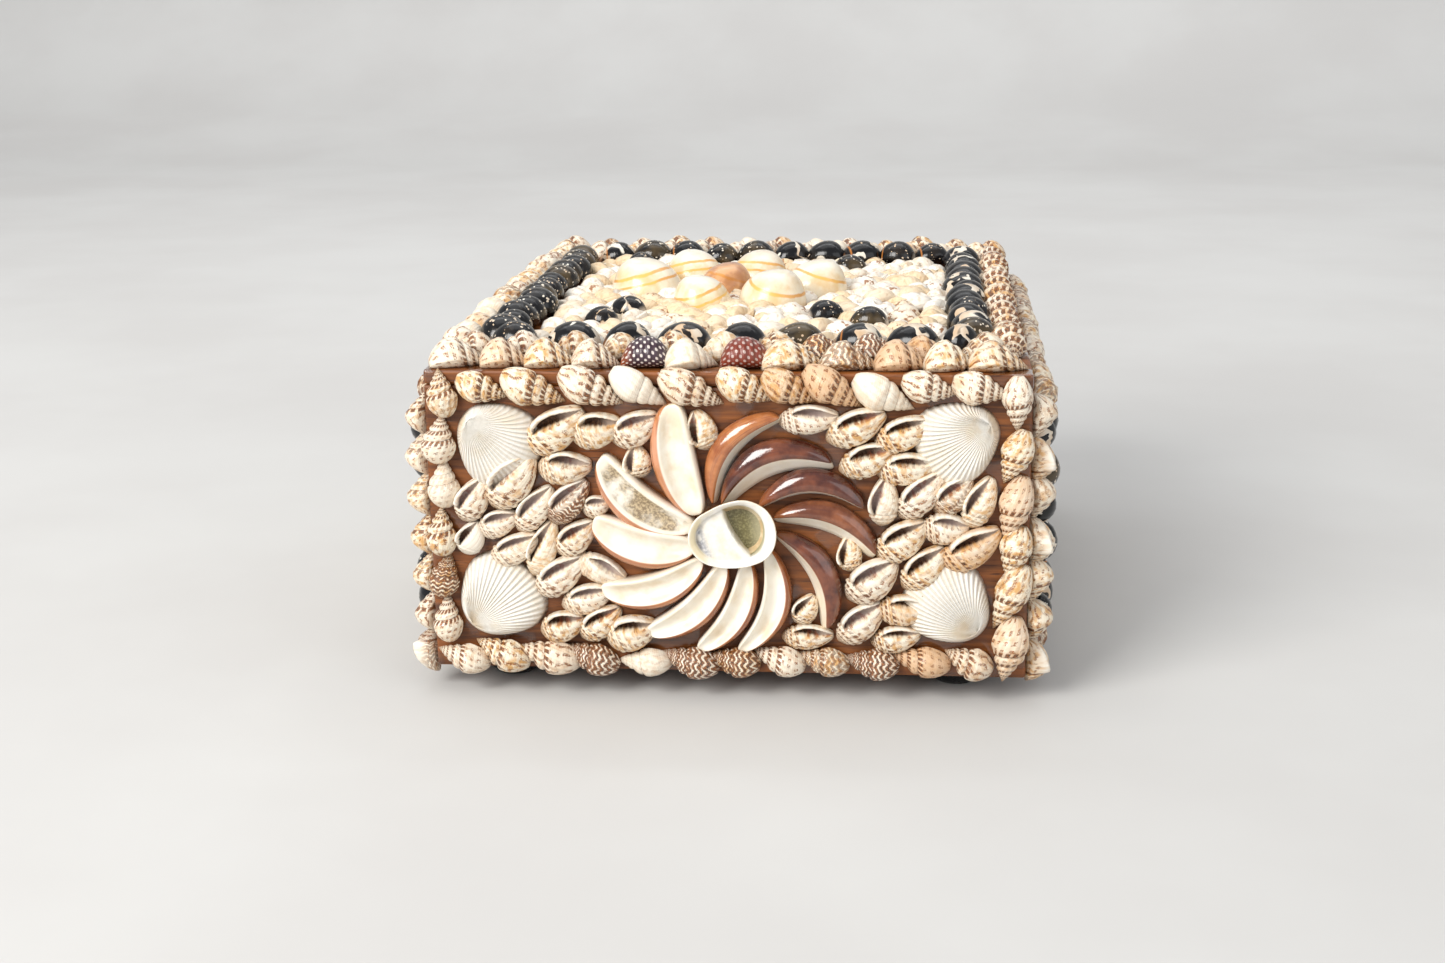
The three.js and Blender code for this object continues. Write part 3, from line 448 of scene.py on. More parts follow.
def whelk_material():
    """Cream to tan, with brown beads along the seams, rows of dots and flames; tone sets how much brown."""
    s = Shader("whelk_shell")
    apex, turn, whorl = s.parts("form")
    seed, tone = s.attribute("seed"), s.attribute("tone")
    rib, mouth, lip = s.attribute("rib"), s.attribute("mouth"), s.attribute("lip")
    skin = s.join(turn * 1.6 + seed * 40.0, whorl * 2.4, seed * 17.0)
    cloud = s.noise(skin, 1.1, 4.0)
    mottle = s.noise(skin, 6.5, 4.0, 0.7)
    phase = whorl.fract()
    choice = (seed * 7.3).fract()
    s.colour = s.mix(cloud.ramp(0.42, 0.66), (0.87, 0.77, 0.6), (0.66, 0.37, 0.13))
    s.over(choice.ramp(0.3, 0.9) * 0.6, (0.86, 0.78, 0.66))
    s.over((tone - 0.5).clamp() * 2.6 * tone.fall(0.76, 0.83), (0.6, 0.3, 0.1))
    s.over(tone.fall(0.0, 0.2), (0.87, 0.8, 0.68))
    # Painted shade: the grooves between the ribs are darkened.
    painted_rib_groove_shade = (1.0 - rib).ramp(0.7, 1.8)
    s.over(painted_rib_groove_shade * 0.16, (0.4, 0.2, 0.07))
    bead = (rib * -1.0 + mottle - 0.3).ramp(-0.15, 0.1)
    seam = phase.ramp(0.0, 0.05) * phase.fall(0.36, 0.5) * whorl.fall(0.3, 0.48)
    flame_path = turn * 10.0 + seed * 9.0 + (apex * 26.0 + seed * 5.0).sin() * 0.9 + mottle * 4.0
    flames = flame_path.sin().ramp(0.35, 0.65) * cloud.ramp(0.42, 0.5) * mottle.ramp(0.42, 0.5)
    row = (whorl * 16.0).sin().ramp(-0.1, 0.3)
    dots = row * (turn * 11.0 + whorl * 4.0 + cloud * 9.0 + seed * 8.0).sin().ramp(0.1, 0.45)
    dots = dots * mottle.ramp(0.44, 0.52)
    zigzag = (whorl * 19.0 + (turn * 9.0).sin() * 1.7 + mottle * 6.0).sin().ramp(-0.6, -0.15)
    kind = (seed * 13.7).fract()
    marks = flames * kind.ramp(0.4, 0.6) + dots * kind.ramp(0.3, 0.7, 1.0, 0.25)
    marks = marks * whorl.ramp(-0.9, 0.1, 0.4, 1.0)
    marks = marks * tone.ramp(0.05, 0.35)
    marks = marks.maximum(seam * bead * tone.ramp(0.1, 0.4))
    marks = marks.maximum(zigzag * tone.ramp(0.78, 0.9)).clamp()
    plain = (1.0 - (lip * 1.3).clamp()) * (1.0 - mouth)
    brown = s.mix(mottle.ramp(0.43, 0.64), (0.035, 0.009, 0.002), (0.4, 0.12, 0.014))
    s.over(marks * plain * 0.95, brown)
    # Painted shade: the cut-in seams between the whorls of the spire are darkened.
    painted_suture_shade = phase.fall(0.0, 0.05) * whorl.fall(0.05, 0.3)
    s.over(painted_suture_shade * 0.85, (0.09, 0.03, 0.008))
    tip = apex.fall(0.0, 0.1)
    s.over(tip * 0.5, (0.5, 0.25, 0.08))
    teeth = (apex * 70.0).sin().ramp(-0.3, 0.4)
    porcelain = s.mix(cloud.ramp(0.4, 0.7), (0.87, 0.82, 0.73), (0.78, 0.66, 0.5))
    s.over((lip * 1.3).clamp() * 0.92, porcelain)
    # The inside of the mouth: brown, grey-lilac and pale toward the narrow end as its own colour, darkened
    # toward near black inside the hole as painted shade.
    mouth_colour_and_shade = s.mix(mottle.ramp(0.4, 0.65), (0.03, 0.011, 0.005), (0.16, 0.07, 0.03))
    mouth_colour_and_shade = s.mix(choice.ramp(0.4, 0.6) * 0.75, mouth_colour_and_shade, (0.4, 0.31, 0.29))
    mouth_colour_and_shade = s.mix(apex.ramp(0.62, 0.9), mouth_colour_and_shade, (0.5, 0.4, 0.33))
    edge = mouth.ramp(0.08, 0.5)
    s.over(edge * teeth * 0.3 + mouth.ramp(0.35, 0.9) * 0.97, mouth_colour_and_shade)
    stain = mouth.ramp(0.05, 0.3) * cloud.ramp(0.52, 0.6) * kind.ramp(0.5, 0.6)
    s.over(stain * 0.5, (0.22, 0.03, 0.01))
    cords = (whorl * 2.0 * math.pi * 9.0).sin() * 0.5
    fine_ribs = (turn * 34.0 + whorl * 8.0).sin() * 0.25
    height = cords * plain * 0.4 + fine_ribs * plain * 0.8 + mottle * 0.5
    normal = s.bump(height, 0.0001, 0.8)
    return s.finish(0.36 + mottle * 0.12 + mouth * 0.2, normal, coat=(1.0 - mouth) * 0.22)


whelk_look = whelk_material()


def laying_tree():
    """Geometry Nodes: stands forms from a collection on points, turned and sized by the points' values."""
    tree = bpy.data.node_groups.new("lay_shells", "GeometryNodeTree")
    face = tree.interface
    kinds = {"Geometry": "Geometry", "Forms": "Collection", "Size": "Float", "Size spread": "Float"}
    kinds.update({"Seed": "Int", "Material": "Material"})
    for name, kind in kinds.items():
        face.new_socket(name, in_out="INPUT", socket_type="NodeSocket" + kind)
    face.new_socket("Geometry", in_out="OUTPUT", socket_type="NodeSocketGeometry")

    def add(kind, settings=None, sockets=None):
        """Adds a node and gives its outputs; a socket takes a value, or a link from another output."""
        made = tree.nodes.new(kind)
        for key, value in (settings or {}).items():
            setattr(made, key, value)
        for key, value in (sockets or {}).items():
            if isinstance(value, bpy.types.NodeSocket):
                tree.links.new(value, made.inputs[key])
            else:
                made.inputs[key].default_value = value
        return made.outputs

    given = add("NodeGroupInput")
    picked = {"Collection": given["Forms"], "Separate Children": True, "Reset Children": True}
    forms = add("GeometryNodeCollectionInfo", None, picked)
    turn, size, pick = [
        add("GeometryNodeInputNamedAttribute", {"data_type": kind}, {"Name": name})[0]
        for name, kind in (("turn", "FLOAT_VECTOR"), ("size", "FLOAT_VECTOR"), ("pick", "INT"))
    ]
    spin = add("FunctionNodeEulerToRotation", None, {0: turn})
    low, high = [
        add("ShaderNodeMath", {"operation": operation}, {0: 1.0, 1: given["Size spread"]})[0]
        for operation in ("SUBTRACT", "ADD")
    ]
    vary = add("FunctionNodeRandomValue", {"data_type": "FLOAT"}, {2: low, 3: high, "Seed": given["Seed"]})
    overall = add("ShaderNodeMath", {"operation": "MULTIPLY"}, {0: vary[1], 1: given["Size"]})
    scale = add("ShaderNodeVectorMath", {"operation": "SCALE"}, {0: size, "Scale": overall[0]})
    placing = {"Points": given["Geometry"], "Instance": forms[0], "Pick Instance": True}
    placing.update({"Instance Index": pick, "Rotation": spin[0], "Scale": scale[0]})
    stand = add("GeometryNodeInstanceOnPoints", None, placing)
    real = add("GeometryNodeRealizeInstances", None, {0: stand[0]})
    paint = add("GeometryNodeSetMaterial", None, {"Geometry": real[0], "Material": given["Material"]})
    add("NodeGroupOutput", None, {0: paint[0]})
    return tree


lay_tree = laying_tree()


def lay(name, face, shells, forms, material, seed, spread=0.0, sink=0.0):
    """One mesh of shells on a face. A shell: u, v, length, width, height, turn, form, tone, tilt."""
    matrix = face_matrix(face)
    points = bpy.data.meshes.new(name + "_points")
    points.from_pydata([matrix @ Vector((s[0], s[1], GAP - sink)) for s in shells], [], [])
    rng = random.Random(seed)
    values = {"turn": [], "size": [], "pick": [], "seed": [], "tone": []}
    basis = matrix.to_3x3().normalized()
    for _, _, length, width, height, turn, form, tone, tilt in shells:
        local = Matrix.Rotation(math.radians(turn), 3, "Z") @ Matrix.Rotation(math.radians(tilt), 3, "X")
        values["turn"].extend((basis @ local).to_euler("XYZ"))
        values["size"].extend((length * MM, width * MM, height * MM))
        values["pick"].append(form)
        values["seed"].append(rng.random())
        values["tone"].append(tone)
    kinds = {"turn": ("FLOAT_VECTOR", "vector"), "size": ("FLOAT_VECTOR", "vector"), "pick": ("INT", "value")}
    for key, data in values.items():
        kind, field = kinds.get(key, ("FLOAT", "value"))
        points.attributes.new(key, kind, "POINT").data.foreach_set(field, data)
    carrier = add_object(name + "_points", points)
    modifier = carrier.modifiers.new("lay", "NODES")
    modifier.node_group = lay_tree
    ids = {item.name: item.identifier for item in lay_tree.interface.items_tree if item.in_out == "INPUT"}
    settings = {"Forms": forms, "Size": 1.0, "Size spread": spread, "Seed": seed, "Material": material}
    for key, value in settings.items():
        modifier[ids[key]] = value
    graph = bpy.context.evaluated_depsgraph_get()
    evaluated = carrier.evaluated_get(graph)
    mesh = bpy.data.meshes.new_from_object(evaluated, preserve_all_data_layers=True, depsgraph=graph)
    carrier.modifiers.clear()
    bpy.data.objects.remove(carrier)
    mesh.name = name
    return add_object(name, mesh)


def lay_piece(node, ending, slot, face, shells, forms, material, seed, sink=0.0):
    """A row or field of shells that stands for one node and is named after it."""
    place(lay(node + ending, face, shells, forms, material, seed, sink=sink), slot, node)


# u, v, length, width, turn of the spire, form, tone (0 plain white to 1 dark brown)
FRONT_TOP = [
    (-56, 68.5, 12.7, 7.6, -13, 0, 0.45),
    (-44, 68.5, 16, 9, -17, 1, 0.5),
    (-30.5, 68.7, 16.5, 8.9, -21, 0, 0.4),
    (-19.5, 68.8, 15, 8, -26, 2, 0.05),
    (-7.4, 68.6, 16.3, 8.6, -19, 0, 0.55),
    (5, 69.3, 14.2, 8.4, -20, 1, 0.4),
    (15, 69.1, 14, 8.2, -21, 0, 0.7),
    (25, 69.2, 15.8, 8.6, -28, 2, 0.75),
    (36.4, 67.9, 15.5, 8.5, -21, 2, 0.1),
    (46.7, 69.6, 13, 7.7, -9, 0, 0.5),
    (58.2, 69.4, 13.2, 8.1, -9, 1, 0.5),
]
FRONT_LEFT = [
    (-65.6, 67.2, 11.5, 7.4, 98, 0, 0.45),
    (-66.6, 56.2, 11.6, 8.4, 83, 1, 0.35),
    (-65.9, 45.7, 11.8, 8, 90, 2, 0.2),
    (-67, 33.9, 12, 7.6, 90, 0, 0.5),
    (-66.7, 23.2, 11.2, 7.4, 77, 0, 0.9),
    (-66.5, 12.5, 12, 7.2, 90, 1, 0.45),
]
FRONT_RIGHT = [
    (66.5, 65.9, 13, 7.2, -90, 1, 0.4),
    (66.2, 53.5, 13.5, 7.6, -111, 0, 0.5),
    (66.3, 41.2, 16.5, 7.9, -105, 0, 0.65),
    (66.6, 31.1, 13, 7.8, -105, 1, 0.35),
    (65.7, 20.2, 17.3, 8.3, -114, 2, 0.4),
    (66, 7.4, 16.6, 8.7, -100, 0, 0.6),
]
FRONT_BOTTOM = [
    (-63.1, 2.9, 13.2, 7.5, 165, 1, 0.4),
    (-53.6, 4.2, 14.2, 8, 157, 0, 0.5),
    (-42.5, 3.8, 16, 8.5, 168, 0, 0.55),
    (-32.3, 3.6, 14.2, 7.8, 159, 0, 0.95),
    (-19.6, 2.6, 13, 7.1, 180, 2, 0.15),
    (-8.8, 3.1, 14.5, 7.9, 165, 1, 0.9),
    (1.6, 3.4, 13, 7.6, 170, 0, 0.9),
    (12.4, 4, 13, 7.6, 162, 2, 0.45),
    (22.6, 3.9, 13, 7.2, 168, 1, 0.85),
    (34, 3.6, 13.3, 7.9, 172, 0, 0.95),
    (45.4, 4.4, 14.5, 7.6, 170, 1, 0.75),
    (56.6, 4.4, 12, 8, 157, 0, 0.55),
]
ROW_HEIGHT, ROW_SLIM, ROW_SINK, TOP_ROW_LEAN = 0.84, 0.93, 0.4, -6.0


def whelk_row(rows, slim=1.0, lean=0.0):
    return [
        (u, v, length, width * slim, width * slim * ROW_HEIGHT, turn + lean, form, tone, 0.0)
        for u, v, length, width, turn, form, tone in rows
    ]


for row_name, row, seed, lean in [
    ("front_row_top", FRONT_TOP, 11, TOP_ROW_LEAN),
    ("front_row_left", FRONT_LEFT, 12, 0.0),
    ("front_row_right", FRONT_RIGHT, 13, 0.0),
    ("front_row_bottom", FRONT_BOTTOM, 14, 0.0),
]:
    row = whelk_row(row, ROW_SLIM, lean)
    lay_piece(row_name, "_whelks", "whelk_shell", "front", row, whelk_forms, whelk_look, seed, sink=ROW_SINK)

# Dog whelks mouth up: the two fields of the front, left and right of the pinwheel.
# The same shells turned over in clear glue: a crescent-shaped mouth under a thick white lip, and beside it
# the speckled body whorl. Nearly all point up and to the right.
belly_forms = prototypes("belly_forms", [
    mouth_mesh("belly_ribbed", 43, 47, 4, 14, 0.015, 0.27),
    mouth_mesh("belly_smooth", 43, 47, 4, 16, 0.006, 0.33),
])
# u, v, length, width, turn of the narrow end, form, tone
FIELD_LEFT = [
    (-39.4, 58.8, 15.4, 9.5, 35, 0, 0.45),
    (-29.8, 59, 11.8, 8.5, 15, 1, 0.3),
    (-20.7, 59.3, 11.7, 8, 30, 0, 0.35),
    (-37.4, 50, 12, 8, 5, 1, 0.3),
    (-49.8, 46.4, 15, 9.8, 52, 0, 0.4),
    (-59.3, 41.7, 11, 7.5, 63, 0, 0.5),
    (-53.6, 36.1, 9.8, 6.4, 25, 1, 0.3),
    (-44.7, 39.6, 12.7, 7, 53, 1, 0.4),
    (-36.8, 41.6, 12.7, 7.5, 50, 0, 1.0),
    (-30.3, 40.6, 6.6, 5.4, 20, 1, 0.5),
    (-60.1, 32.3, 8.2, 6.6, 65, 1, 0.0),
    (-49.9, 29.9, 12.5, 7, 30, 0, 0.3),
    (-43, 30, 13.5, 6.7, 70, 1, 0.15),
    (-35.3, 32.8, 11, 7.2, 42, 0, 0.5),
    (-39.2, 23.6, 13.6, 8, 39, 0, 0.35),
    (-29.6, 25.6, 12, 6.7, -23, 1, 0.2),
    (-33, 18.1, 12.1, 7.2, 21, 0, 0.3),
    (-39, 11.2, 10.5, 7.6, 20, 1, 0.35),
    (-30, 12, 11.3, 7, 39, 0, 0.5),
    (-22.7, 10, 12, 8.8, 18, 0, 0.3),
    (-5, 59, 9.2, 7, 110, 1, 0.2),
    (-20.1, 51.4, 7.6, 6.5, 100, 1, 0.4),
]
FIELD_RIGHT = [
    (19.2, 62, 13, 6.9, 5, 1, 0.35),
    (30, 60.3, 13.9, 8, 27, 0, 0.3),
    (40.7, 58.9, 12.9, 7.6, 26, 0, 0.4),
    (32.6, 52.6, 12.8, 7.6, 24, 1, 0.3),
    (41.4, 50.8, 12.8, 7.6, 9, 0, 0.5),
    (45, 44.4, 13.7, 7.6, 48, 0, 0.4),
    (36.6, 42.6, 11, 7, 85, 1, 0.2),
    (52.3, 44.4, 11, 7.2, 48, 0, 0.85),
    (58.4, 42.7, 12.3, 7.1, 67, 1, 0.25),
    (50.6, 36.8, 10.4, 7.6, 3, 0, 0.4),
    (40.7, 33.6, 13, 8.5, 38, 0, 0.45),
    (56.5, 31.8, 15, 8.5, 35, 0, 0.7),
    (45.9, 26.9, 12.8, 8, 47, 1, 0.4),
    (33.9, 23.9, 13.7, 9.3, 41, 0, 0.4),
    (41.5, 17, 12.5, 7.6, 3, 0, 0.6),
    (31.4, 13.4, 13, 7.9, 43, 1, 0.35),
    (39.6, 9.7, 11, 6.6, 12, 0, 0.4),
    (19, 9.8, 11.4, 6.2, 3, 1, 0.35),
    (18.5, 16.2, 7.6, 5.9, 60, 1, 0.5),
    (28.8, 29.8, 8, 5.8, 95, 1, 0.45),
]
BELLY_LENGTH, BELLY_WIDTH, BELLY_HEIGHT, GLUE_SINK = 1.08, 1.02, 0.7, 0.3


def belly_field(rows):
    return [
        (u, v, length * BELLY_LENGTH, width * BELLY_WIDTH, width * BELLY_HEIGHT, turn + 180, form, tone, 0.0)
        for u, v, length, width, turn, form, tone in rows
    ]


for field, row, seed in (("front_field_left", FIELD_LEFT, 21), ("front_field_right", FIELD_RIGHT, 22)):
    row = belly_field(row)
    lay_piece(field, "_whelks", "whelk_shell", "front", row, belly_forms, whelk_look, seed, sink=GLUE_SINK)

# White cockle valves at the four corners of the front, beak to the corner, glued hollow side down.
# About 35 low ribs fan out from the beak; growth lines and a little yellow staining cross them.
COCKLE_HEIGHT = 4.9
# name, u, v, length, width, turn of the beak
COCKLES = [
    ("cockle_top_left", -52.8, 55.2, 21, 21.5, 136),
    ("cockle_bottom_left", -53.6, 18.0, 21, 22, 225),
    ("cockle_top_right", 53.0, 57.0, 20.5, 20, 32),
    ("cockle_bottom_right", 51.6, 18.4, 21.5, 21, -43),
]


def cockle_mesh(name, around, stations, rib_share):
    """A valve one unit long and wide, beak at +X, one unit high over z 0: a fan with a rounded corner."""
    angles = np.linspace(0, 2 * math.pi, around, endpoint=False)
    outline = 0.486 + 0.03 * np.cos(3 * angles) - 0.014 * np.cos(angles)
    edge_x, edge_y = np.cos(angles) * outline, np.sin(angles) * outline
    beak = 0.43
    bearing = np.arctan2(edge_y, beak - edge_x)
    reach = np.hypot(beak - edge_x, edge_y)
    ribs = np.cos(bearing * rib_share)
    rings, fan, growth = [], [], []
    for s in np.linspace(0, 1, stations):
        out = 1 - s
        centre_x = beak * s**1.3
        x = edge_x * out + centre_x
        y = edge_y * out
        from_edge = 1 - out
        arch = math.sin(math.pi / 2 * min(1.0, from_edge * 1.9 + 0.02)) ** 0.7
        slope = 1 - 0.38 * np.clip((x - 0.1) / 0.36, 0, 1) ** 2
        fade = np.clip(reach * out / 0.3, 0, 1) ** 0.8
        z = 0.97 * arch * slope + 0.021 * ribs * fade * min(1.0, from_edge * 6 + 0.25)
        rings.append(np.stack([x, y, np.maximum(z, 0.01)], axis=1))
        fan.append(ribs * fade)
        growth.append(reach * out)
    rings[0][:, 2] = 0
    return surface(name, rings, {"rib": fan, "growth": growth})


def cockle_material():
    s = Shader("cockle_shell")
    rib, growth = s.attribute("rib"), s.attribute("growth")
    coords = s.object_coords()
    cloud = s.noise(coords, 130.0, 4.0)
    speck = s.noise(coords, 1500.0, 3.0)
    lines = (growth * 90.0 + cloud * 8.0).sin()
    s.colour = s.mix(cloud.ramp(0.4, 0.75), (0.8, 0.775, 0.72), (0.74, 0.67, 0.54))
    # Painted shade: the grooves between the ribs are greyed.
    painted_groove_shade = (rib * -1.0).ramp(-0.2, 0.9)
    s.over(painted_groove_shade * 0.5, (0.56, 0.47, 0.35))
    s.over(lines.ramp(0.75, 1.0) * growth.ramp(0.3, 0.8) * 0.14, (0.55, 0.42, 0.28))
    near_beak = growth.fall(0.02, 0.35)
    s.over(near_beak * cloud.ramp(0.42, 0.66) * 0.5, (0.62, 0.42, 0.2))
    rim = growth.ramp(0.86, 0.98)
    s.over(rim * cloud.ramp(0.5, 0.64) * 0.4, (0.6, 0.36, 0.14))
    pits = s.cells(coords, 380.0).fall(0.05, 0.11) * cloud.ramp(0.5, 0.58)
    s.over(pits * 0.75, (0.24, 0.12, 0.04))
    height = rib * 0.8 + lines * 0.12 + speck * 0.25
    return s.finish(0.44 + cloud * 0.1, s.bump(height, 0.00016, 0.8), coat=0.08)


cockle_forms = prototypes("cockle_forms", [
    cockle_mesh("cockle_form", 260, 14, 74),
    cockle_mesh("cockle_form_light", 140, 10, 50),
])
cockle_look = cockle_material()
for i, (cockle_name, u, v, length, width, turn) in enumerate(COCKLES):
    shell = [(u, v, length, width, COCKLE_HEIGHT, turn, 0, 0.2, 0.0)]
    lay_piece(cockle_name, "_valve", "white_shell", "front", shell, cockle_forms, cockle_look, 30 + i)

# The pinwheel: twelve slices sawn from cowries, curved like petals, laid round the hub.
# Seven lie with the sawn cream face and its hollow up, five with the glossy brown back up.
SLICE_HEIGHT = 4.6
# u and v of the inner end and of the outer end, reach of the outer and of the inner edge to the left of
# the line between them, share of the width that is sawn face (1 is the hollow side up), tone of the brown.
SLICES = [
    (-6.6, 39.2, -12.3, 65.4, 7.4, -3.1, 1.0, 0.1),
    (-7.3, 35.7, -29.0, 52.2, 8.8, -1.5, 1.0, 0.15),
    (-6.7, 31.2, -30.9, 36.8, 8.0, -2.3, 1.0, 0.2),
    (-5.2, 27.8, -29.0, 20.3, 7.9, -0.8, 1.0, 0.25),
    (0.2, 27.3, -18.1, 9.9, 7.4, -0.6, 1.0, 0.42),
    (5.3, 28.6, -5.9, 6.3, 7.3, 0.1, 1.0, 0.32),
    (10.1, 31.3, 3.8, 6.2, 8.5, 1.5, 1.0, 0.3),
    (12.0, 35.1, 24.0, 12.3, 8.4, 1.5, 0.32, 0.75),
    (11.3, 38.9, 35.0, 30.5, 8.1, 0.7, 0.4, 0.6),
    (7.8, 41.6, 32.1, 42.2, 8.8, 2.5, 0.2, 0.9),
    (-0.7, 41.9, 24.6, 52.2, 10.2, 1.7, 0.42, 0.8),
    (-2.8, 42.1, 12.5, 62.8, 8.4, 2.1, 0.28, 0.3),
]


def slice_mesh(name, ends, face="front", stations=44):
    u0, v0, u1, v1, outer, inner, sawn, tone = ends
    start, end = Vector((u0, v0)), Vector((u1, v1))
    along = (end - start).normalized()
    left = Vector((-along.y, along.x))
    length = (end - start).length
    # share of the width, share of the height, zone (0 brown back, 1 sawn rim, 2 hollow)
    if sawn == 1.0:
        section = [
            (0.0, 0.0, 1), (0.0, 0.62, 1), (0.015, 0.86, 1), (0.05, 0.97, 1), (0.09, 1.0, 1),
            (0.14, 0.95, 1.5), (0.2, 0.8, 2), (0.3, 0.63, 2), (0.42, 0.55, 2), (0.53, 0.57, 2),
            (0.62, 0.68, 2), (0.69, 0.85, 1.5), (0.73, 0.96, 1), (0.77, 1.0, 0.95), (0.8, 0.99, 0.4),
            (0.85, 0.95, 0), (0.9, 0.86, 0), (0.95, 0.71, 0), (0.985, 0.5, 0), (1.0, 0.25, 0), (0.99, 0.0, 0),
        ]
    else:
        section = [(0.0, 0.0, 1), (0.0, 0.14, 1), (0.3 * sawn, 0.32, 1), (0.65 * sawn, 0.58, 1)]
        section += [(0.9 * sawn, 0.8, 1), (sawn, 0.87, 0.9), (sawn + 0.03, 0.9, 0.3)]
        for t in (0.12, 0.25, 0.38, 0.5, 0.62, 0.74, 0.84, 0.92, 0.97, 1.0):
            dome = math.sqrt(max(0.0, 1 - (1.2 * t - 0.28) ** 2 / 0.94))
            section.append((sawn + (1 - sawn) * t, 0.24 + 0.76 * dome, 0))
        section.append((0.99, 0.0, 0))
    rings, zones, spots = [], [], []
    for i in range(stations):
        s = 0.5 - 0.5 * math.cos(math.pi * (0.01 + 0.98 * i / (stations - 1)))
        swell = 4 * s * (1 - s)
        middle = (outer + inner) / 2 * swell
        blunt = 0.4 if s < 0.5 else (0.24 if sawn < 1.0 else 0.33)
        half = (outer - inner) / 2 * swell**blunt
        top = SLICE_HEIGHT * (0.5 + 0.5 * swell**0.4)
        hollow = min(1.0, swell * 1.5)
        ring = []
        for across, height, zone in section:
            if zone > 1:
                height = 1.0 - (1.0 - height) * hollow
            offset = middle + half * (2 * across - 1)
            point = start + along * (s * length) + left * offset
            ring.append((point.x, point.y, GAP + (top - GAP) * height))
        rings.append(ring[::-1])
        zones.append([1 + (z - 1) * hollow if z > 1 else z for _, _, z in section][::-1])
        spots.append([(s, a, h) for a, h, _ in section][::-1])
    matrix = face_matrix(face)
    rings = [[tuple(matrix @ Vector(p)) for p in ring] for ring in rings]
    values = {"zone": zones, "across": np.array(spots), "tone": np.full((stations, len(section)), tone)}
    return surface(name, rings, values)


def cowrie_material():
    s = Shader("cowrie_slice")
    zone, tone = s.attribute("zone"), s.attribute("tone")
    along, across, _ = s.parts("across")
    coords = s.object_coords()
    cloud = s.noise(coords, 170.0, 4.0)
    fine = s.noise(coords, 1400.0, 4.0, 0.65)
    streak = s.noise(s.join(along * 3.0, across * 22.0, tone * 9.0), 1.0, 4.0)
    brown = s.mix(tone.ramp(0.3, 0.75), (0.3, 0.085, 0.025), (0.06, 0.012, 0.006))
    brown = s.mix(tone.fall(0.1, 0.3), brown, (0.62, 0.28, 0.15))
    light = s.mix(tone.ramp(0.3, 0.75), (0.48, 0.18, 0.06), (0.2, 0.055, 0.022))
    back = s.mix(cloud.ramp(0.38, 0.66), brown, light)
    back = s.mix(streak.ramp(0.52, 0.7) * 0.5, back, (0.1, 0.028, 0.02))
    back = s.mix(along.fall(0.0, 0.14) * 0.45, back, (0.45, 0.15, 0.04))
    pale = s.mix(cloud.ramp(0.3, 0.7), (0.86, 0.81, 0.71), (0.8, 0.7, 0.54))
    # Painted shade: the sawn face turns a darker tan down in the hollow, in cloudy patches.
    painted_hollow_shade = zone.ramp(1.1, 1.9)
    pale = s.mix(painted_hollow_shade * cloud.ramp(0.45, 0.7) * 0.35, pale, (0.62, 0.44, 0.26))
    sandy = (tone - 0.15).abs().fall(0.0, 0.03) * zone.ramp(1.3, 1.7)
    sand = s.mix(fine.ramp(0.42, 0.6), (0.16, 0.1, 0.04), (0.5, 0.38, 0.22))
    pale = s.mix(sandy * cloud.ramp(0.3, 0.5) * 0.85, pale, sand)
    rosy = zone.ramp(0.1, 0.5) * zone.fall(0.6, 0.95)
    s.colour = s.mix(zone.ramp(0.3, 0.8), back, pale)
    s.over(rosy * 0.5, (0.55, 0.26, 0.15))
    rough = zone.ramp(0.2, 0.9, 0.1, 0.34) + fine * 0.06
    height = fine * zone.ramp(0.3, 1.0, 0.05, 0.8) + cloud * zone.ramp(0.3, 1.0, 3.0, 0.4)
    return s.finish(rough, s.bump(height, 0.00012, 0.7), coat=zone.ramp(0.2, 0.9, 0.9, 0.25))


slice_look = cowrie_material()
for i, ends in enumerate(SLICES):
    slice_name = "cowrie_slice_%d" % (i + 1)
    made = add_object(slice_name + "_petal", slice_mesh(slice_name, ends), slice_look)
    place(made, "cowrie_shell", slice_name)

# The hub: a slipper shell glued on its back, so that its white inner shelf and olive hollow show.
# Its thick white rim stands over the inner ends of the slices; the left end is stained grey and yellow.
HUB = {"u": 1.8, "v": 35.2, "turn": 5.5, "scale": 1.0}
HUB_RIM, SHELF = 7.5, 5.5
# Distance from the middle to the outside of the rim and to its inside, every 30 degrees from the right end.
HUB_OUTSIDE = [10.6, 10.8, 9.9, 8.5, 8.2, 9.3, 9.9, 9.1, 7.7, 7.2, 8.0, 9.8]
HUB_INSIDE = [7.8, 8.2, 8.0, 7.0, 6.7, 7.7, 8.3, 7.5, 6.2, 5.7, 6.4, 7.4]


def round_list(values, angles):
    """Smooth closed curve of radii through values given at equal angles."""
    count = len(values)
    place_on = angles / (2 * math.pi) * count
    low = np.floor(place_on).astype(int)
    t = place_on - low
    p0, p1, p2, p3 = (np.array(values)[(low + k) % count] for k in (-1, 0, 1, 2))
    return 0.5 * (
        2 * p1 + (p2 - p0) * t + (2 * p0 - 5 * p1 + 4 * p2 - p3) * t**2 + (3 * p1 - p0 - 3 * p2 + p3) * t**3
    )


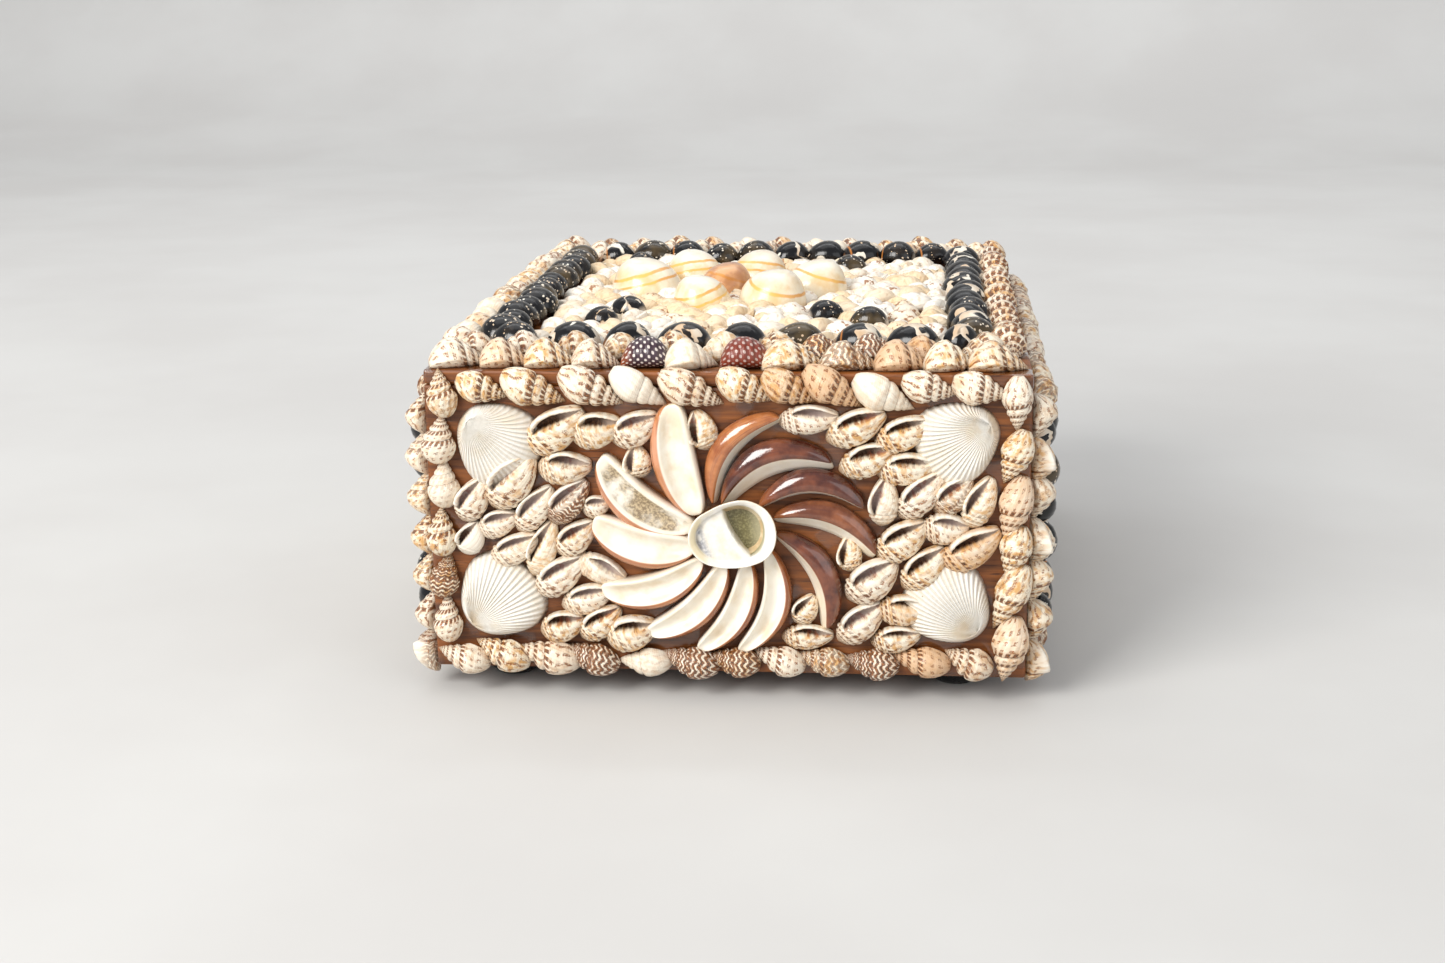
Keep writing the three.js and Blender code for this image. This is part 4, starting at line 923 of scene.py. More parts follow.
def slipper_mesh(name, at, face, around=96, inner_rings=22):
    """Rings from the glued back up the outside, over the rim and down to the shelf and into the hollow."""
    angles = np.linspace(0, 2 * math.pi, around, endpoint=False)
    outside, inside = round_list(HUB_OUTSIDE, angles), round_list(HUB_INSIDE, angles)
    rings, cuts, rims = [], [], []

    def shelf_edge(x, y):
        """Distance past the edge of the shelf, on the side of the hollow."""
        return x - (0.6 - 0.48 * y + 0.025 * y * y)

    def add_ring(radius, height, rim):
        x, y = radius * np.cos(angles), radius * np.sin(angles)
        rings.append(np.stack([x, y, height + 0 * angles], axis=1))
        cuts.append(shelf_edge(x, y))
        rims.append(rim + 0 * angles)

    # share of the outside radius and height, from the glue up to the rim
    back = [(0.4, 0.0), (0.5, 0.7), (0.68, 2.8), (0.85, 5.0), (0.95, 6.3), (0.99, 6.9), (1.0, 7.2)]
    for share, height in back:
        add_ring(outside * share, height, -1.0)
    for t in (0.06, 0.2, 0.4, 0.6, 0.8, 0.93):
        slope = 1.9 * t**1.6 * (0.5 + 0.5 * np.cos(angles / 2) ** 2)
        add_ring(outside + (inside - outside) * t, HUB_RIM - 0.1 * (1 - t) - slope, t)
    for t in np.linspace(0, 1, inner_rings) ** 0.8:
        radius = inside * max(1 - t, 0.01)
        x, y = radius * np.cos(angles), radius * np.sin(angles)
        hollow = np.clip(0.5 + shelf_edge(x, y) / 0.36, 0, 1)
        floor_height = SHELF - 3.4 * np.clip(t / 0.1, 0, 1) ** 0.6
        lobe = np.clip((-x - 5.6) / 2.2, 0, 1)
        shelf_height = SHELF + 0.25 * np.cos(y * 0.3) - 0.9 * lobe * np.clip(t / 0.12, 0, 1)
        add_ring(radius, floor_height * hollow + shelf_height * (1 - hollow), 1.0 + t)
    matrix = face_matrix(face) @ Matrix.Translation((at["u"], at["v"], GAP))
    matrix = matrix @ Matrix.Rotation(math.radians(at["turn"]), 4, "Z") @ Matrix.Scale(at["scale"], 4)
    placed = [[tuple(matrix @ Vector(p)) for p in ring] for ring in rings]
    local = np.array(rings) / 10
    return surface(name, placed, {"cut": cuts, "rim": rims, "local": local})


def slipper_material():
    s = Shader("slipper_shell")
    cut, rim, local = s.attribute("cut"), s.attribute("rim"), s.attribute("local", "Vector")
    x, y, _ = s.split(local)
    cloud = s.noise(local, 3.0, 4.0)
    fine = s.noise(local, 20.0, 4.0)
    within = rim.ramp(0.97, 1.05)
    s.colour = s.mix(cloud.ramp(0.35, 0.7), (0.86, 0.84, 0.8), (0.78, 0.71, 0.58))
    shelf = within * cut.fall(-0.3, -0.1)
    s.over(shelf * 0.6, s.mix(cloud.ramp(0.4, 0.7), (0.8, 0.76, 0.68), (0.68, 0.6, 0.48)))
    hollow = within * cut.ramp(0.0, 0.22)
    olive = s.mix(fine.ramp(0.4, 0.7), (0.13, 0.11, 0.035), (0.27, 0.235, 0.1))
    # Painted light and shade: the olive hollow is paler toward the right end and darker at the left, under
    # the shelf.
    olive = s.mix(x.ramp(0.3, 0.7) * 0.65, olive, (0.52, 0.48, 0.31))
    s.over(hollow, olive)
    # Painted shade: a darker line along the edge of the shelf, where it drops into the hollow.
    line = cut.abs().fall(0.0, 0.2) * within
    s.over(line * 0.5, (0.35, 0.26, 0.1))
    edge = rim.fall(-0.6, 0.12)
    s.over(edge * 0.75, s.mix(cloud.ramp(0.4, 0.6), (0.72, 0.58, 0.33), (0.5, 0.32, 0.11)))
    left = (x * -1.0).ramp(0.52, 0.72)
    yellow = left * rim.ramp(0.0, 0.5) * rim.fall(0.95, 1.1)
    s.over(yellow * 0.8, (0.66, 0.54, 0.3))
    stain = (x * -1.0 - y * 0.25).ramp(0.5, 0.74) * within
    grey = s.mix(fine.ramp(0.45, 0.6), (0.25, 0.26, 0.3), (0.5, 0.5, 0.52))
    s.over(stain * cloud.ramp(0.32, 0.5) * 0.9, grey)
    # Painted shade: the dip just inside the rim at the left end is darkened.
    painted_rim_dip_shade = (x * -1.0 - y * 0.25).ramp(0.72, 0.84) * rim.ramp(1.0, 1.04) * rim.fall(1.1, 1.2)
    s.over(painted_rim_dip_shade * 0.8, (0.12, 0.08, 0.04))
    return s.finish(0.26 + fine * 0.12, s.bump(fine + cloud, 0.00008, 0.6), coat=0.4)


slipper_look = slipper_material()
hub = add_object("hub_slipper", slipper_mesh("hub_slipper", HUB, "front"), slipper_look)
place(hub, "white_shell", "hub_slipper_shell")

# The edge of the lid: two rows of small whelks at the front and back and one at the sides, glued on the
# board with their spires along the edge. Two round top shells in the front row are wine-dark with white dots.
LID_U, LID_V = HALF_W - 0.4, HALF_D - 0.4
# u, v, length, width, turn, form, tone
LID_FRONT_OUTER = [
    (-62.4, -83.2, 14, 8.6, 24, 1, 0.35),
    (-51.2, -83.4, 12.4, 8.6, 18, 2, 0.62),
    (-40.6, -83.4, 12.8, 8.6, 14, 0, 0.5),
    (-30, -83.4, 11.6, 8.4, 10, 1, 0.5),
    (-7.8, -83.4, 12.8, 8.8, 20, 2, 0.1),
    (15.8, -83.4, 15.4, 8.8, 16, 1, 0.4),
    (28.6, -83.4, 14, 8.2, 8, 0, 0.86),
    (40.6, -83.4, 13.4, 8.8, 14, 2, 0.74),
    (51.4, -83.4, 12.6, 8.6, 20, 0, 0.35),
    (62.2, -83.2, 14, 8.6, 10, 1, 0.55),
]
LID_FRONT_INNER = [
    (-61.5, -75.4, 12.4, 8.4, 196, 1, 0.35),
    (-50, -75.6, 12.6, 8.6, 200, 0, 0.45),
    (-37.6, -75.4, 13, 8.6, 190, 0, 0.82),
    (-26.6, -75.6, 12, 8.2, 206, 2, 0.3),
    (-14.6, -75.4, 12.4, 8.8, 196, 1, 0.45),
    (-2.4, -75.6, 12.8, 8.8, 204, 2, 0.15),
    (9.8, -75.4, 13, 8.8, 190, 1, 0.4),
    (22.4, -75.6, 12.6, 8.4, 12, 0, 0.95),
    (34.4, -75.4, 12.6, 8.6, 8, 0, 0.9),
    (46.2, -75.6, 12.4, 8.2, 14, 2, 0.78),
    (58.2, -75.4, 13.4, 9, 196, 1, 0.35),
]
# u, v, length, width, turn, tone (0 wine-dark, 1 red-brown)
TOP_SHELLS = [(-18.6, -83.2, 11.6, 9.4, 186, 0.0), (4.6, -83.2, 12, 9.4, 8, 1.0)]
TOP_SHELL_HEIGHT, RUN_HEIGHT = 7.8, 0.8


def whelk_run(u0, v0, u1, v1, count, length, width, turn, seed, forms=3):
    """A straight row of whelks with small chance differences."""
    rng = random.Random(seed)
    shells = []
    for i in range(count):
        s = (i + 0.5) / count
        size = rng.uniform(0.9, 1.08)
        tone = rng.choice([0.1, 0.3, 0.4, 0.45, 0.5, 0.6, 0.85])
        u = u0 + (u1 - u0) * s + rng.uniform(-0.4, 0.4)
        v = v0 + (v1 - v0) * s + rng.uniform(-0.35, 0.35)
        form = rng.randrange(forms)
        lean = turn + rng.uniform(-9, 9)
        sizes = (length * size, width * size, width * RUN_HEIGHT * size)
        shells.append((u, v, *sizes, lean, form, tone, rng.uniform(-8, 8)))
    return shells


def top_shell_mesh(name, around=30, stations=18):
    """A rounded low-spired shell one unit long, wide and high, spire to +X."""
    turns = np.linspace(-math.pi, math.pi, around, endpoint=False)
    rows = []
    for i in range(stations):
        a = 0.5 - 0.5 * math.cos(math.pi * i / (stations - 1))
        girth = max((4 * a * (1 - a)) ** 0.5, 0.02) * (1 - 0.15 * (1 - a))
        whorl, phase, on_body = whorls(max(a, 0.03), turns, 0.3, 2.0, 0.1)
        radius = girth * (1 + (1 - on_body) * (0.1 * np.sin(np.pi * phase) ** 0.5 - 0.06))
        rows.append((a, whorl, shell_ring(a, turns, radius, girth, 0.62, 0.38), {}))
    return skin_shell(name, turns, rows)


round_forms = prototypes("round_forms", [
    top_shell_mesh("round_form"),
    top_shell_mesh("round_form_light", 20, 13),
])


def dotted_material():
    s = Shader("dotted_top_shell")
    apex, turn, _ = s.parts("form")
    tone = s.attribute("tone")
    cords = (apex * 42.0 + turn * 0.6).sin()
    dots = (cords * (turn * 12.0 + apex * 6.0).sin()).ramp(0.3, 0.55)
    dots = dots * tone.ramp(0.4, 0.6, 1.0, 0.55)
    skin = s.mix(tone, (0.05, 0.024, 0.035), (0.19, 0.03, 0.014))
    skin = s.mix(apex.fall(0.0, 0.3), skin, (0.3, 0.07, 0.02))
    s.colour = s.mix(dots * 0.85, skin, (0.78, 0.7, 0.64))
    return s.finish(0.3, s.bump(cords * 0.6 + dots * 0.4, 0.0003, 0.8), coat=0.2)


def join_meshes(name, pieces):
    """Joins objects into the first one."""
    bpy.ops.object.select_all(action="DESELECT")
    for piece in pieces:
        piece.select_set(True)
    bpy.context.view_layer.objects.active = pieces[0]
    bpy.ops.object.join()
    pieces[0].name = name
    return pieces[0]


dotted_look = dotted_material()
front_rows = whelk_row(LID_FRONT_OUTER) + whelk_row(LID_FRONT_INNER)
front_edge = lay("lid_front_whelks", "lid", front_rows, whelk_forms, whelk_look, 41, sink=GLUE_SINK)


def single_shells(rows, height):
    """Shells of the first form, all equally high, from u, v, length, width, turn and tone."""
    return [(u, v, length, width, height, turn, 0, tone, 0.0) for u, v, length, width, turn, tone in rows]


tops = single_shells(TOP_SHELLS, TOP_SHELL_HEIGHT)
front_tops = lay("lid_front_tops", "lid", tops, round_forms, dotted_look, 42)
place(join_meshes("lid_front_edge_shells", [front_edge, front_tops]), "whelk_shell", "lid_border_front")
OUTER_V, INNER_U, INNER_V = LID_V - 4.2, LID_U - 2, LID_V - 11.6
EDGE_U, EDGE_V, RUN_SPREAD = LID_U - 4.4, LID_V - 16.4, 0.03
back_edge = whelk_run(LID_U, OUTER_V, -LID_U, OUTER_V, 13, 13.0, 8.4, 196, 43, 2)
back_edge += whelk_run(INNER_U, INNER_V, -INNER_U, INNER_V, 13, 12.6, 8.4, 14, 44, 2)
edges = [("back", back_edge, whelk_light_forms, 43)]
for side, sign in (("left", -1), ("right", 1)):
    u = sign * EDGE_U
    column = whelk_run(u, -EDGE_V, u, EDGE_V, 15, 12.8, 8.6, -82 * sign, 45 + sign, 2)
    edges.append((side, column, whelk_middle_forms, 46 + sign))
for side, edge, forms, seed in edges:
    made = lay("lid_%s_edge_shells" % side, "lid", edge, forms, whelk_look, seed, RUN_SPREAD, GLUE_SINK)
    place(made, "whelk_shell", "lid_border_" + side)

# Nerites: round glossy black shells with white zebra lines, dots or brown rings.
# One row of them is glued inside the edge of the lid on each side.
NERITE_U, NERITE_V, NERITE_END, NERITE_HEIGHT, TALLEST_NERITE = 56.4, 67.2, 63, 8.2, 8.3
NERITE_WIDTH, NERITE_RISE = 0.86, 0.66


def nerite_material():
    """Black with bold wavy cream lines or dots; tone under 0.5 lines, over 0.5 dots, over 0.8 olive."""
    s = Shader("nerite_shell")
    apex, turn, _ = s.parts("form")
    seed, tone = s.attribute("seed"), s.attribute("tone")
    skin = s.join(turn * 0.7 + seed * 50.0, apex * 2.0, seed * 23.0)
    warp = s.noise(skin, 1.2, 2.0)
    path = turn * 1.1 + apex * 8.0 + (warp - 0.5) * 12.0 + seed * 6.0
    zebra = path.sin().ramp(0.5, 0.6) * s.noise(skin, 1.3, 1.0).ramp(0.4, 0.45)
    dots = s.cells(s.join(turn * 1.4 + seed * 9.0, apex * 4.0, 0.0), 2.6).fall(0.22, 0.27)
    dots = dots * s.noise(skin, 1.4, 1.0).ramp(0.4, 0.46)
    use_dots = tone.ramp(0.45, 0.55)
    mark = zebra * (1.0 - use_dots) + dots * use_dots
    black = s.mix(warp.ramp(0.5, 0.75), (0.002, 0.002, 0.003), (0.018, 0.012, 0.008))
    black = s.mix(tone.ramp(0.8, 0.95) * warp.ramp(0.35, 0.6), black, (0.09, 0.06, 0.025))
    pale = s.mix(warp.ramp(0.3, 0.7), (0.8, 0.76, 0.66), (0.6, 0.42, 0.26))
    s.colour = s.mix(mark * 0.95, black, pale)
    ring = (apex - 0.2).abs().fall(0.0, 0.03) * (seed * 11.0).fract().ramp(0.5, 0.6)
    s.over(ring * 0.8, (0.55, 0.2, 0.04))
    tip = apex.fall(0.02, 0.12) * (seed * 17.0).fract().ramp(0.4, 0.5)
    s.over(tip * 0.9, (0.55, 0.24, 0.1))
    s.over(apex.ramp(0.9, 0.97) * 0.75, (0.6, 0.5, 0.4))
    height = (apex * 90.0).sin() * 0.2 + warp
    return s.finish(0.2 + mark * 0.1, s.bump(height, 0.00005, 0.5), coat=0.12, specular=0.4)


nerite_look = nerite_material()


def nerite_run(u0, v0, u1, v1, count, size, turn, seed):
    rng = random.Random(seed)
    shells = []
    for i in range(count):
        s = (i + 0.5) / count
        k = rng.uniform(0.9, 1.1)
        u = u0 + (u1 - u0) * s + rng.uniform(-0.5, 0.5)
        v = v0 + (v1 - v0) * s + rng.uniform(-0.5, 0.5)
        tone = rng.choice([0.1, 0.2, 0.3, 0.6, 0.7, 0.9])
        height = min(TALLEST_NERITE, size * NERITE_RISE * k)
        lean = turn + rng.uniform(-25, 25)
        width = size * NERITE_WIDTH * k
        shells.append((u, v, size * k, width, height, lean, 0, tone, rng.uniform(-12, 12)))
    return shells


# u, v, length, width, turn, tone (under 0.5 zebra, over 0.5 dots, over 0.8 olive)
NERITES_FRONT = [
    (-52.4, -67.2, 12.6, 10.6, 165, 0.6),
    (-38.2, -67, 14.2, 11.4, 172, 0.1),
    (-25, -67.2, 12.6, 10.6, 200, 0.2),
    (-11.6, -67, 14.6, 11.6, 170, 0.3),
    (2.2, -67.2, 13.4, 11, 160, 0.15),
    (15.6, -67, 14.2, 11, 190, 0.9),
    (30, -67.2, 12.8, 10.8, 175, 0.25),
    (42.6, -67, 14, 11.4, 170, 0.3),
    (53.6, -67.2, 9.6, 10.4, 150, 0.2),
]
nerite_rows = {
    "lid_nerites_front": single_shells(NERITES_FRONT, NERITE_HEIGHT),
    "lid_nerites_back": nerite_run(-NERITE_U + 4, NERITE_V, NERITE_U - 4, NERITE_V, 10, 12.4, 175, 51),
    "lid_nerites_left": nerite_run(-NERITE_U, -NERITE_END, -NERITE_U, NERITE_END, 13, 12.8, 80, 52),
    "lid_nerites_right": nerite_run(NERITE_U, -NERITE_END, NERITE_U, NERITE_END, 13, 12.8, 100, 53),
}
for i, (row_name, row) in enumerate(nerite_rows.items()):
    lay_piece(row_name, "_shells", "nerite_shell", "lid", row, round_forms, nerite_look, 54 + i)

# The rosette of the lid: six smooth moon shells, cream with a yellow-orange line or two, round an
# orange-brown one. They are glued on the board with the mouth down.
MOON_HEIGHT = 10.8
# name, u, v, radius along and across, turn, tone (over 0.25 the shell turns amber)
MOONS = [
    ("lid_moon_centre", -9, 10, 7.8, 7.4, 30, 0.9),
    ("lid_moon_1", -30.5, 11, 10, 9.4, 160, 0.15),
    ("lid_moon_2", -13, -11, 7.9, 7.6, 200, 0.1),
    ("lid_moon_3", 5, -5, 9.4, 8.8, 330, 0.35),
    ("lid_moon_4", 15.6, 12.2, 8.9, 8.4, 20, 0.3),
    ("lid_moon_5", -1.2, 29.2, 8.6, 8.2, 70, 0.4),
    ("lid_moon_6", -19.6, 29.6, 8.7, 8.3, 120, 0.2),
]


def moon_mesh(name, around=40, stations=22):
    """A dome one unit in radius and height with a small low spire off centre."""
    rings, forms = [], []
    angles = np.linspace(0, 2 * math.pi, around, endpoint=False)
    for i in range(stations):
        t = i / (stations - 1)
        polar = (1 - t) * math.pi / 2
        r = math.sin(polar) ** 0.85 if t < 1 else 0.0
        z = math.cos(polar) ** 0.9 if polar < math.pi / 2 - 1e-6 else 0.0
        shift = 0.32 * (1 - r)
        x = np.cos(angles) * max(r, 0.004) + shift
        y = np.sin(angles) * max(r, 0.004)
        _, phase, _ = whorls(max(r, 0.02), angles, 0.5, 1.9)
        dip = 0.03 * np.exp(-((np.minimum(phase, 1 - phase) / 0.08) ** 2)) * (1 if r < 0.5 else 0)
        rings.append(np.stack([x, y, np.full(around, z) - dip], axis=1))
        forms.append(np.stack([x, y, np.full(around, z)], axis=1))
    return surface(name, rings, {"form": np.array(forms)})


def moon_material():
    s = Shader("moon_shell")
    x, y, z = s.parts("form")
    seed, tone = s.attribute("seed"), s.attribute("tone")
    spot = s.join(x + seed * 9.0, y, z)
    cloud = s.noise(spot, 1.5, 4.0)
    fine = s.noise(spot, 18.0, 3.0)
    s.colour = s.mix(cloud.ramp(0.35, 0.65), (0.85, 0.77, 0.6), (0.76, 0.56, 0.3))
    # Painted light: each dome is paler toward its top.
    s.over(z.ramp(0.6, 0.98) * 0.6, (0.86, 0.82, 0.73))
    band = z + x * 0.25 + (cloud - 0.5) * 0.16
    line = (band - 0.62).abs().fall(0.02, 0.055)
    second = (band - 0.38).abs().fall(0.015, 0.05) * (seed * 7.0).fract().ramp(0.35, 0.45)
    warm = s.mix(cloud.ramp(0.4, 0.6), (0.72, 0.3, 0.02), (0.8, 0.46, 0.08))
    s.over(line.maximum(second) * 0.85, warm)
    amber = s.mix(cloud.ramp(0.4, 0.6), (0.6, 0.24, 0.045), (0.36, 0.1, 0.015))
    s.over(tone.ramp(0.25, 0.9) * 0.8, amber)
    return s.finish(0.25 + fine * 0.1, s.bump(fine, 0.00003, 0.5), coat=0.4)


moon_look = moon_material()
moon_forms = prototypes("moon_forms", [moon_mesh("moon_form"), moon_mesh("moon_form_light", 24, 11)])
for i, (moon_name, u, v, radius_u, radius_v, turn, tone) in enumerate(MOONS):
    height = MOON_HEIGHT * (radius_u / 10) ** 0.4
    shell = [(u, v, radius_u, radius_v, height, turn, 0, tone, 0.0)]
    lay_piece(moon_name, "_shell", "moon_shell", "lid", shell, moon_forms, moon_look, 60 + i)

# The ground between rosette and nerites: small white and cream shells of mixed kinds packed close in glue.
# A few black nerites lie among them nearest the front and back.
FIELD_U, FIELD_V, FIELD_SPACING = 49.4, 59.6, 5.2
PEBBLE_SPREAD, PEBBLE_SINK, TALLEST_PEBBLE, TRIES = 0.05, 0.4, 5.2, 9000
# length, width and height: a range in mm, a range of the length, and a share of the width
PEBBLE_LENGTH, PEBBLE_WIDTH, PEBBLE_RISE = (8.2, 11.6), (0.6, 0.78), 0.66
pebble_forms = prototypes("pebble_forms", [
    whelk_mesh("pebble_whelk", 13, 11, 2, 8, 0.04),
    top_shell_mesh("pebble_round", 12, 8),
    mouth_mesh("pebble_mouth", 14, 17, 2, 9, 0.0, 0.34),
])


def packed(u0, v0, u1, v1, spacing, taken, seed):
    """Shells scattered close together in a rectangle, keeping off the circles that are taken."""
    rng = random.Random(seed)
    spots = []
    for _ in range(TRIES):
        u, v = rng.uniform(u0, u1), rng.uniform(v0, v1)
        if any(math.hypot(u - a, v - b) < r + spacing * 0.3 for a, b, r in taken):
            continue
        if all(math.hypot(u - a, v - b) > spacing for a, b in spots):
            spots.append((u, v))
    shells = []
    for u, v in spots:
        length = rng.uniform(*PEBBLE_LENGTH)
        width = length * rng.uniform(*PEBBLE_WIDTH)
        tone = rng.choice([0.0, 0.0, 0.05, 0.1, 0.2, 0.45])
        height = min(width * PEBBLE_RISE, TALLEST_PEBBLE)
        turn, form = rng.uniform(0, 360), rng.randrange(3)
        shells.append((u, v, length, width, height, turn, form, tone, rng.uniform(-10, 10)))
    return shells


def white_material():
    s = Shader("small_white_shell")
    apex, turn, whorl = s.parts("form")
    seed, tone, mouth = s.attribute("seed"), s.attribute("tone"), s.attribute("mouth")
    skin = s.join(turn + seed * 30.0, apex * 3.0, seed * 13.0)
    cloud = s.noise(skin, 2.2, 4.0)
    warm = (seed * 5.0).fract()
    s.colour = s.mix(warm.ramp(0.3, 0.9), (0.87, 0.82, 0.73), (0.78, 0.6, 0.38))
    s.over(cloud.ramp(0.48, 0.7) * 0.5, (0.48, 0.25, 0.09))
    s.over(cloud.ramp(0.56, 0.62) * tone.ramp(0.2, 0.5), (0.3, 0.12, 0.04))
    # Painted shade: the cut-in seams between the whorls are darkened.
    seam = whorl.fract().fall(0.0, 0.06)
    s.over(seam * 0.35, (0.5, 0.36, 0.24))
    # Painted shade: the mouth is darkened where its hole goes in.
    s.over(mouth.ramp(0.4, 0.9) * 0.8, (0.32, 0.2, 0.15))
    height = (turn * 16.0).sin() * 0.4 + cloud
    return s.finish(0.42, s.bump(height, 0.0001, 0.6), coat=0.1)


white_look = white_material()
taken = [(u, v, max(ru, rv)) for _, u, v, ru, rv, _, _ in MOONS]
STRAY_HEIGHT, STRAY_ROOM = 6.6, 5.0
# u, v, length, width, turn, tone
STRAY_NERITES = [
    (-36, -38, 10, 8, 160, 0.2),
    (-31.5, -22, 11, 8.6, 150, 0.1),
    (20.5, -27, 10.5, 8.6, 20, 0.6),
    (31.5, -36, 10.5, 8.4, 170, 0.9),
    (24, 50, 10.5, 8.4, 10, 0.9),
    (-38, 54, 10, 8, 40, 0.2),
]
taken += [(u, v, STRAY_ROOM) for u, v, *_ in STRAY_NERITES]


def pebble_ground(name, face, box, spacing, taken, seed, lay_seed):
    shells = packed(*box, spacing, taken, seed)
    return lay(name, face, shells, pebble_forms, white_look, lay_seed, PEBBLE_SPREAD, PEBBLE_SINK)


field_box = (-FIELD_U, -FIELD_V, FIELD_U, FIELD_V)
ground = pebble_ground("lid_white_ground", "lid", field_box, FIELD_SPACING, taken, 71, 72)
strays = single_shells(STRAY_NERITES, STRAY_HEIGHT)
stray_nerites = lay("lid_stray_nerites", "lid", strays, round_forms, nerite_look, 73)
place(join_meshes("lid_white_field_shells", [ground, stray_nerites]), "white_shell", "lid_white_field")

# The sides: a frame of whelks, a frame of dark nerites inside it, white shells and a line of moon shells,
# all glued on the boards. Only their front ends show, so the rest follows the lid, plainer.
SIDE_U, SIDE_LOW, SIDE_TOP = HALF_D - 0.6, 0.6, BODY_HEIGHT - 0.4
WHELK_INSET, NERITE_FRAME, NERITE_INSET, MOON_BOX = 3.9, 8.1, 4.4, 17.2
FRAME_SPREAD, FRAME_SIZE, FRAME_TURN = 0.02, (12.6, 8.2), 188
# shells in each level and each upright run of the whelks and of the nerites
WHELK_COUNTS, NERITE_COUNTS = (16, 6), (15, 4)
SIDE_MOON_HEIGHT, SIDE_SPACING, SIDE_NERITE, SIDE_MARGIN = 8.4, 5.6, 11.2, (3, 2.6)
# the column of small whelks at the front edge: its inset, the room it takes, its top and its foot
COLUMN_INSET, COLUMN_ROOM, COLUMN_TOP, COLUMN_FOOT = 2.8, 8.4, 67, -1.5
# u, v, radius along and across
SIDE_MOONS = [(-34, 34.5, 9, 8.4), (-11.5, 34.5, 9.4, 8.8), (11.5, 34.5, 9.4, 8.8), (34, 34.5, 9, 8.4)]


def frame_run(maker, half, low, high, inset, counts, size, turn_level, seed):
    """Four runs round a rectangle, the level ones first: maker(u0, v0, u1, v1, count, *size, turn, seed)."""
    level, upright = counts
    shells = maker(-half, low + inset, half, low + inset, level, *size, turn_level, seed)
    shells += maker(half, high - inset, -half, high - inset, level, *size, turn_level + 180, seed + 1)
    for sign in (-1, 1):
        edge, ends = sign * (half - inset), (low + 2 * inset, high - 2 * inset)
        shells += maker(edge, ends[0], edge, ends[1], upright, *size, 90, seed + 2 + sign)
    return shells


def whelk_frame(half, counts, seed):
    return frame_run(whelk_run, half, SIDE_LOW, SIDE_TOP, WHELK_INSET, counts, FRAME_SIZE, FRAME_TURN, seed)


def lay_frame(side, shells, seed):
    node = side + "_whelk_frame"
    made = lay(node + "_shells", side, shells, whelk_light_forms, whelk_look, seed, FRAME_SPREAD, GLUE_SINK)
    place(made, "whelk_shell", node)


for side, seed, front in (("left", 80, 1), ("right", 90, -1)):
    outer = whelk_frame(SIDE_U, WHELK_COUNTS, seed)
    outer = [shell for shell in outer if shell[0] * front < SIDE_U - COLUMN_ROOM]
    column = front * (SIDE_U - COLUMN_INSET)
    outer += whelk_run(column, COLUMN_TOP, column, COLUMN_FOOT, 7, 11.2, 8.0, 90 * front, seed + 9)
    lay_frame(side, outer, seed)
    low, high, half = SIDE_LOW + NERITE_FRAME, SIDE_TOP - NERITE_FRAME, SIDE_U - NERITE_FRAME
    inner = frame_run(nerite_run, half, low, high, NERITE_INSET, NERITE_COUNTS, (SIDE_NERITE,), 10, seed)
    inner = [shell[:6] + (1,) + shell[7:] for shell in inner]
    node = side + "_nerite_frame"
    lay_piece(node, "_shells", "nerite_shell", side, inner, round_forms, nerite_look, seed)
    half, high = SIDE_U - MOON_BOX - SIDE_MARGIN[0], SIDE_TOP - MOON_BOX - SIDE_MARGIN[1]
    taken = [(u, v, ru) for u, v, ru, _ in SIDE_MOONS]
    box = (-half, SIDE_LOW + MOON_BOX + SIDE_MARGIN[1], half, high)
    ground = pebble_ground(side + "_white_ground", side, box, SIDE_SPACING, taken, seed + 5, seed + 6)
    domes = [(*moon, SIDE_MOON_HEIGHT, 60 * i, 1, 0.2, 0.0) for i, moon in enumerate(SIDE_MOONS)]
    moons = lay(side + "_moons", side, domes, moon_forms, moon_look, seed + 7)
    place(join_meshes(side + "_moon_field_shells", [moons, ground]), "moon_shell", side + "_moon_field")

# The back, not seen: the same pinwheel and cockles as the front in a frame of whelks, more regular,
# glued on the board like the front.
BACK_U, BACK_CENTRE, BACK_COUNTS, BACK_SPACING = HALF_W - 0.6, SIDE_TOP / 2, (13, 6), 5.7
# the slices run from an inner ring to an outer ring, both a little flat, and lean by an angle on the way
PETALS, PETAL_LEAN, INNER_RING, OUTER_RING = 12, 0.42, (10.6, 10), (27.5, 24.6)
PINWHEEL_ROOM, COCKLE_ROOM, BACK_REACH = 25.0, 8.6, (5.4, -0.8)
BACK_COCKLE_U, BACK_COCKLE_V, BACK_COCKLE_SIZE = 50, 16.4, (18, 18.4)
BACK_FIELD = (-57, 12, 57, SIDE_TOP - 11.4)
lay_frame("back", whelk_frame(BACK_U, BACK_COUNTS, 100), 101)
back_pieces = []
for i in range(PETALS):
    angle = 2 * math.pi * i / PETALS
    lean = angle + PETAL_LEAN
    start = (INNER_RING[0] * math.cos(angle), BACK_CENTRE + INNER_RING[1] * math.sin(angle))
    end = (OUTER_RING[0] * math.cos(lean), BACK_CENTRE + OUTER_RING[1] * math.sin(lean))
    sawn, tone = ((1.0, 0.3), (0.35, 0.7))[i % 2]
    mesh = slice_mesh("back_slice_%d" % i, (*start, *end, *BACK_REACH, sawn, tone), "back", 22)
    back_pieces.append(add_object("back_slice_%d" % i, mesh, slice_look))
back_hub = {"u": 0.0, "v": BACK_CENTRE, "turn": 10.0, "scale": 0.96}
hub_mesh = slipper_mesh("back_slipper", back_hub, "back", 48, 12)
back_pieces.append(add_object("back_slipper", hub_mesh, slipper_look))
back_cockles = []
